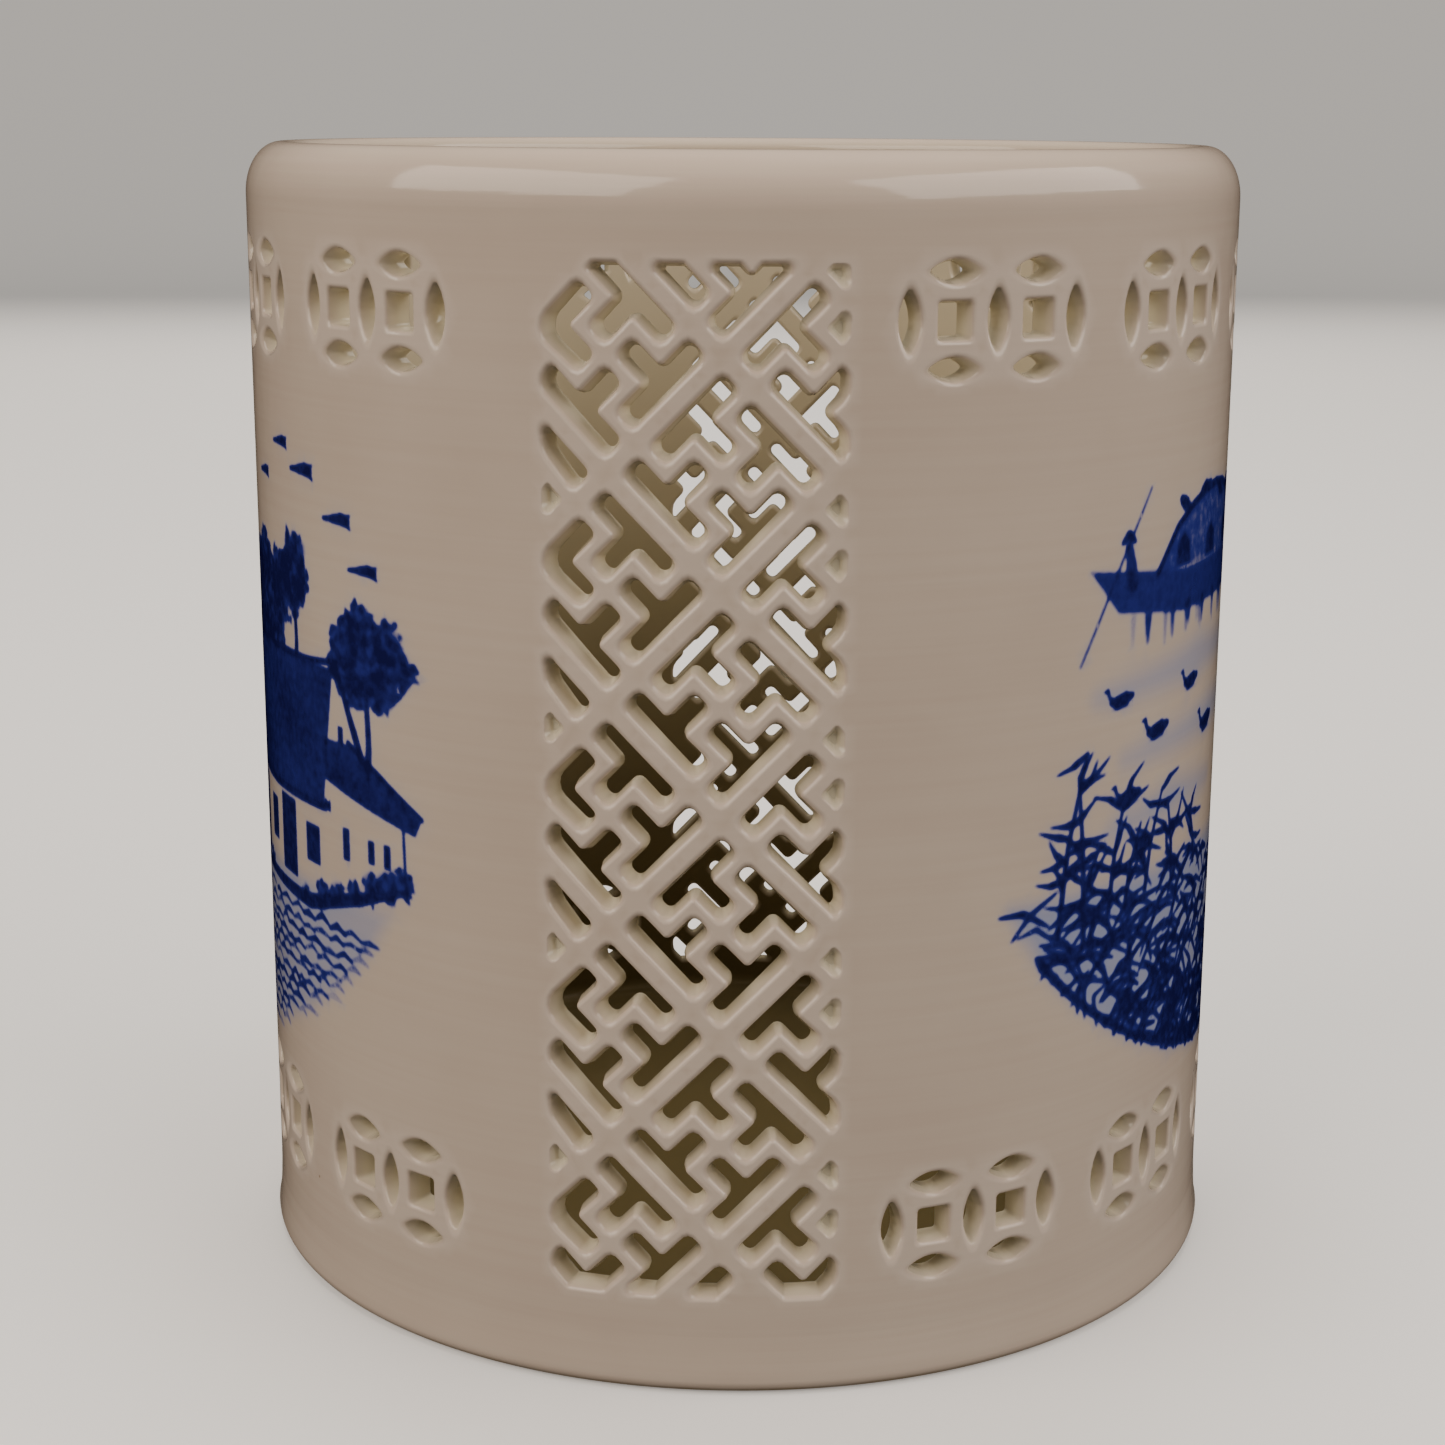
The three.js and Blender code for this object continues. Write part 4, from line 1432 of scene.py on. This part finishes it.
def turned(name, profile, material, node_name, slot):
    """A ring or disc turned from a closed or axis-to-axis profile of [radius, height,
    outward normal's radius and height, pool, inner], one point each degree round."""
    profile = np.array(profile, float)
    on_axis = profile[0, 0] == 0
    ring = profile[1:-1] if on_axis else profile
    angles = np.radians(np.arange(float(DEGREES)))
    around = np.stack([np.sin(angles), -np.cos(angles)], 1)
    verts, facing = (
        np.concatenate([
            np.concatenate([around * wide, np.full((DEGREES, 1), tall)], 1)
            for wide, tall in ring[:, columns]])
        for columns in ((0, 1), (2, 3)))
    pool, inner = np.repeat(ring[:, 4], DEGREES), np.repeat(ring[:, 5], DEGREES)
    faces = []
    rows = len(ring)
    for i in range(rows - 1 if on_axis else rows):
        a, b = i * DEGREES, (i + 1) % rows * DEGREES
        for k in range(DEGREES):
            j = (k + 1) % DEGREES
            faces.append((a + k, a + j, b + j, b + k))
    if on_axis:
        for end, first in ((0, 0), (-1, (rows - 1) * DEGREES)):
            centre = len(verts)
            verts = np.concatenate([verts, [(0, 0, profile[end, 1])]])
            facing = np.concatenate([facing, [(0, 0, profile[end, 3])]])
            pool, inner = np.append(pool, profile[end, 4]), np.append(inner, profile[end, 5])
            for k in range(DEGREES):
                pair = (first + k, first + (k + 1) % DEGREES)
                faces.append((*(pair if end else pair[::-1]), centre))
    mesh = bpy.data.meshes.new(name)
    mesh.from_pydata((verts * MM).tolist(), [], faces)
    store(mesh, "pool", pool)
    store(mesh, "inner", inner)
    mesh.shade_smooth()
    facing /= np.linalg.norm(facing, axis=1)[:, None]
    mesh.normals_split_custom_set_from_vertices(facing.tolist())
    mesh.materials.append(material)
    piece = linked(name, mesh)
    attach(piece, "root")
    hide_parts(node_name)


def arc(centre, radius, start, end, steps, pool=0.0, inner=(0.0, 0.0), hollow=False, rise=None):
    """Profile points round an arc, in degrees from outward to upward. It is part of an
    ellipse where its upright radius, rise, is given too."""
    rise = rise or radius
    points = []
    for i in range(steps + 1):
        share = i / steps
        angle = math.radians(start + (end - start) * share)
        out, up = math.cos(angle), math.sin(angle)
        sign = -1 if hollow else 1
        points.append((centre[0] + radius * out, centre[1] + rise * up,
                       sign * out * rise, sign * up * radius,
                       pool, inner[0] + (inner[1] - inner[0]) * share))
    return points


def flare_at(z):
    return FLARE * max(0.0, 1 - z / FLARE_HEIGHT) ** 2


def flare_rise(z):
    return 2 * FLARE / FLARE_HEIGHT * max(0.0, 1 - z / FLARE_HEIGHT)


LIP_BOTTOM, LIP_TOP = (corner.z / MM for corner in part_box("rim_lip"))
LIP_WIDTH, LIP_INNER_ROUND = 6.0, 1.6
LIP_OUTER_ROUND, LIP_OUTER_RISE = 4.1, 5.8
INNER_RADIUS = RADIUS - WALL
mouth = RADIUS - LIP_WIDTH
lip_profile = [(RADIUS, LIP_BOTTOM, 1, 0, 0, 0)]
lip_profile += arc((RADIUS - LIP_OUTER_ROUND, LIP_TOP - LIP_OUTER_RISE), LIP_OUTER_ROUND,
                   0, 90, 18, rise=LIP_OUTER_RISE)
lip_profile += arc((mouth + LIP_INNER_ROUND, LIP_TOP - LIP_INNER_ROUND), LIP_INNER_ROUND,
                   90, 180, 8, inner=(0.0, 0.5))[1:]
# Under the lip, inside, the coil slopes back to the wall.
lip_profile += [(mouth, LIP_BOTTOM + 3.2, -1, 0, 0, 0.7),
                (mouth + 0.25, LIP_BOTTOM + 2.5, -0.93, -0.36, 0, 0.8),
                (INNER_RADIUS - 0.7, LIP_BOTTOM + 0.9, -0.8, -0.6, 0.2, 1),
                (INNER_RADIUS, LIP_BOTTOM, -1, 0, 0.2, 1)]
turned("rounded_lip", lip_profile, PLAIN_PORCELAIN, "rim_lip", "glazed_wall")

FLOOR_BOTTOM, FLOOR_TOP = (corner.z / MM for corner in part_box("floor_disc"))
COVE = 2.5
UNDER_RING, SIDE_RING, TOP_RINGS = 48.0, 4.5, (36.0, 18.0)  # they keep the faces even
outer_low, outer_high = RADIUS + flare_at(FLOOR_BOTTOM), RADIUS + flare_at(FLOOR_TOP)
# The floor's top and its cove are inside (inner 1): they take the inside's painted shade, darkest
# here at the floor, and the cove's pooled glaze takes its painted glow.
floor_profile = [(0, FLOOR_BOTTOM, 0, -1, 0, 0), (UNDER_RING, FLOOR_BOTTOM, 0, -1, 0, 0),
                 (outer_low, FLOOR_BOTTOM, 1, flare_rise(FLOOR_BOTTOM), 0, 0),
                 (RADIUS + flare_at(SIDE_RING), SIDE_RING, 1, flare_rise(SIDE_RING), 0, 0),
                 (outer_high, FLOOR_TOP, 1, flare_rise(FLOOR_TOP), 0, 0),
                 (INNER_RADIUS, FLOOR_TOP, -1, 0, 0, 1)]
floor_profile += arc((INNER_RADIUS - COVE, FLOOR_TOP + COVE), COVE, 0, -90, 8, 0.5, (1, 1), True)
floor_profile += [(TOP_RINGS[0], FLOOR_TOP, 0, 1, 0.2, 1),
                  (TOP_RINGS[1], FLOOR_TOP, 0, 1, 0.1, 1), (0, FLOOR_TOP, 0, 1, 0, 1)]
turned("floor", floor_profile, PLAIN_PORCELAIN, "floor_disc", "glazed_wall")


def bare_foot():
    """Unglazed hard-paste biscuit: matt, and toasted buff where the glaze line ends, 0.4 mm
    above the table, with glaze over it from there up."""
    material = glazed_porcelain("biscuit_foot_with_glaze_line")
    tree = material.node_tree
    shader = tree.nodes["Principled BSDF"]
    place = node(tree, "ShaderNodeTexCoord").outputs["Object"]
    glazed_colour = shader.inputs["Base Color"].links[0].from_socket
    height = node(tree, "ShaderNodeSeparateXYZ", inputs={0: place}).outputs["Z"]
    line = maths(tree, "MULTIPLY_ADD", noise(tree, place, 160.0, 3.0), 0.0006, 0.0001)
    glazed = node(tree, "ShaderNodeMapRange", inputs={
        "Value": maths(tree, "SUBTRACT", height, line),
        "From Min": 0.0, "From Max": 0.0004}).outputs["Result"]
    toast = ramp(tree, noise(tree, place, 1400.0, 4.0), (0.0, "a08662"), (1.0, "c2a888"))
    tree.links.new(mix(tree, glazed, toast, glazed_colour), shader.inputs["Base Color"])
    rough = node(tree, "ShaderNodeMapRange", inputs={
        "Value": glazed, "To Min": 0.85, "To Max": GLOSS})
    tree.links.new(rough.outputs["Result"], shader.inputs["Roughness"])
    return material


FOOT_WIDTH, FOOT_ROUND, FOOT_CHAMFER = 8.5, 1.5, 0.8
foot_outer = RADIUS + flare_at(0)
foot_inner = foot_outer - FOOT_WIDTH
foot_profile = [(foot_inner, FOOT_CHAMFER, -1, 0, 0, 0),
                (foot_inner + FOOT_CHAMFER, 0, 0, -1, 0, 0)]
foot_profile += arc((foot_outer - FOOT_ROUND, FOOT_ROUND), FOOT_ROUND, -90, 0, 8)
foot_profile += [(outer_low, FLOOR_BOTTOM, 1, flare_rise(FLOOR_BOTTOM), 0, 0),
                 (foot_inner, FLOOR_BOTTOM, -1, 0, 0, 0)]
turned("foot_ring_biscuit", foot_profile, bare_foot(), "foot_ring", "bare_foot")
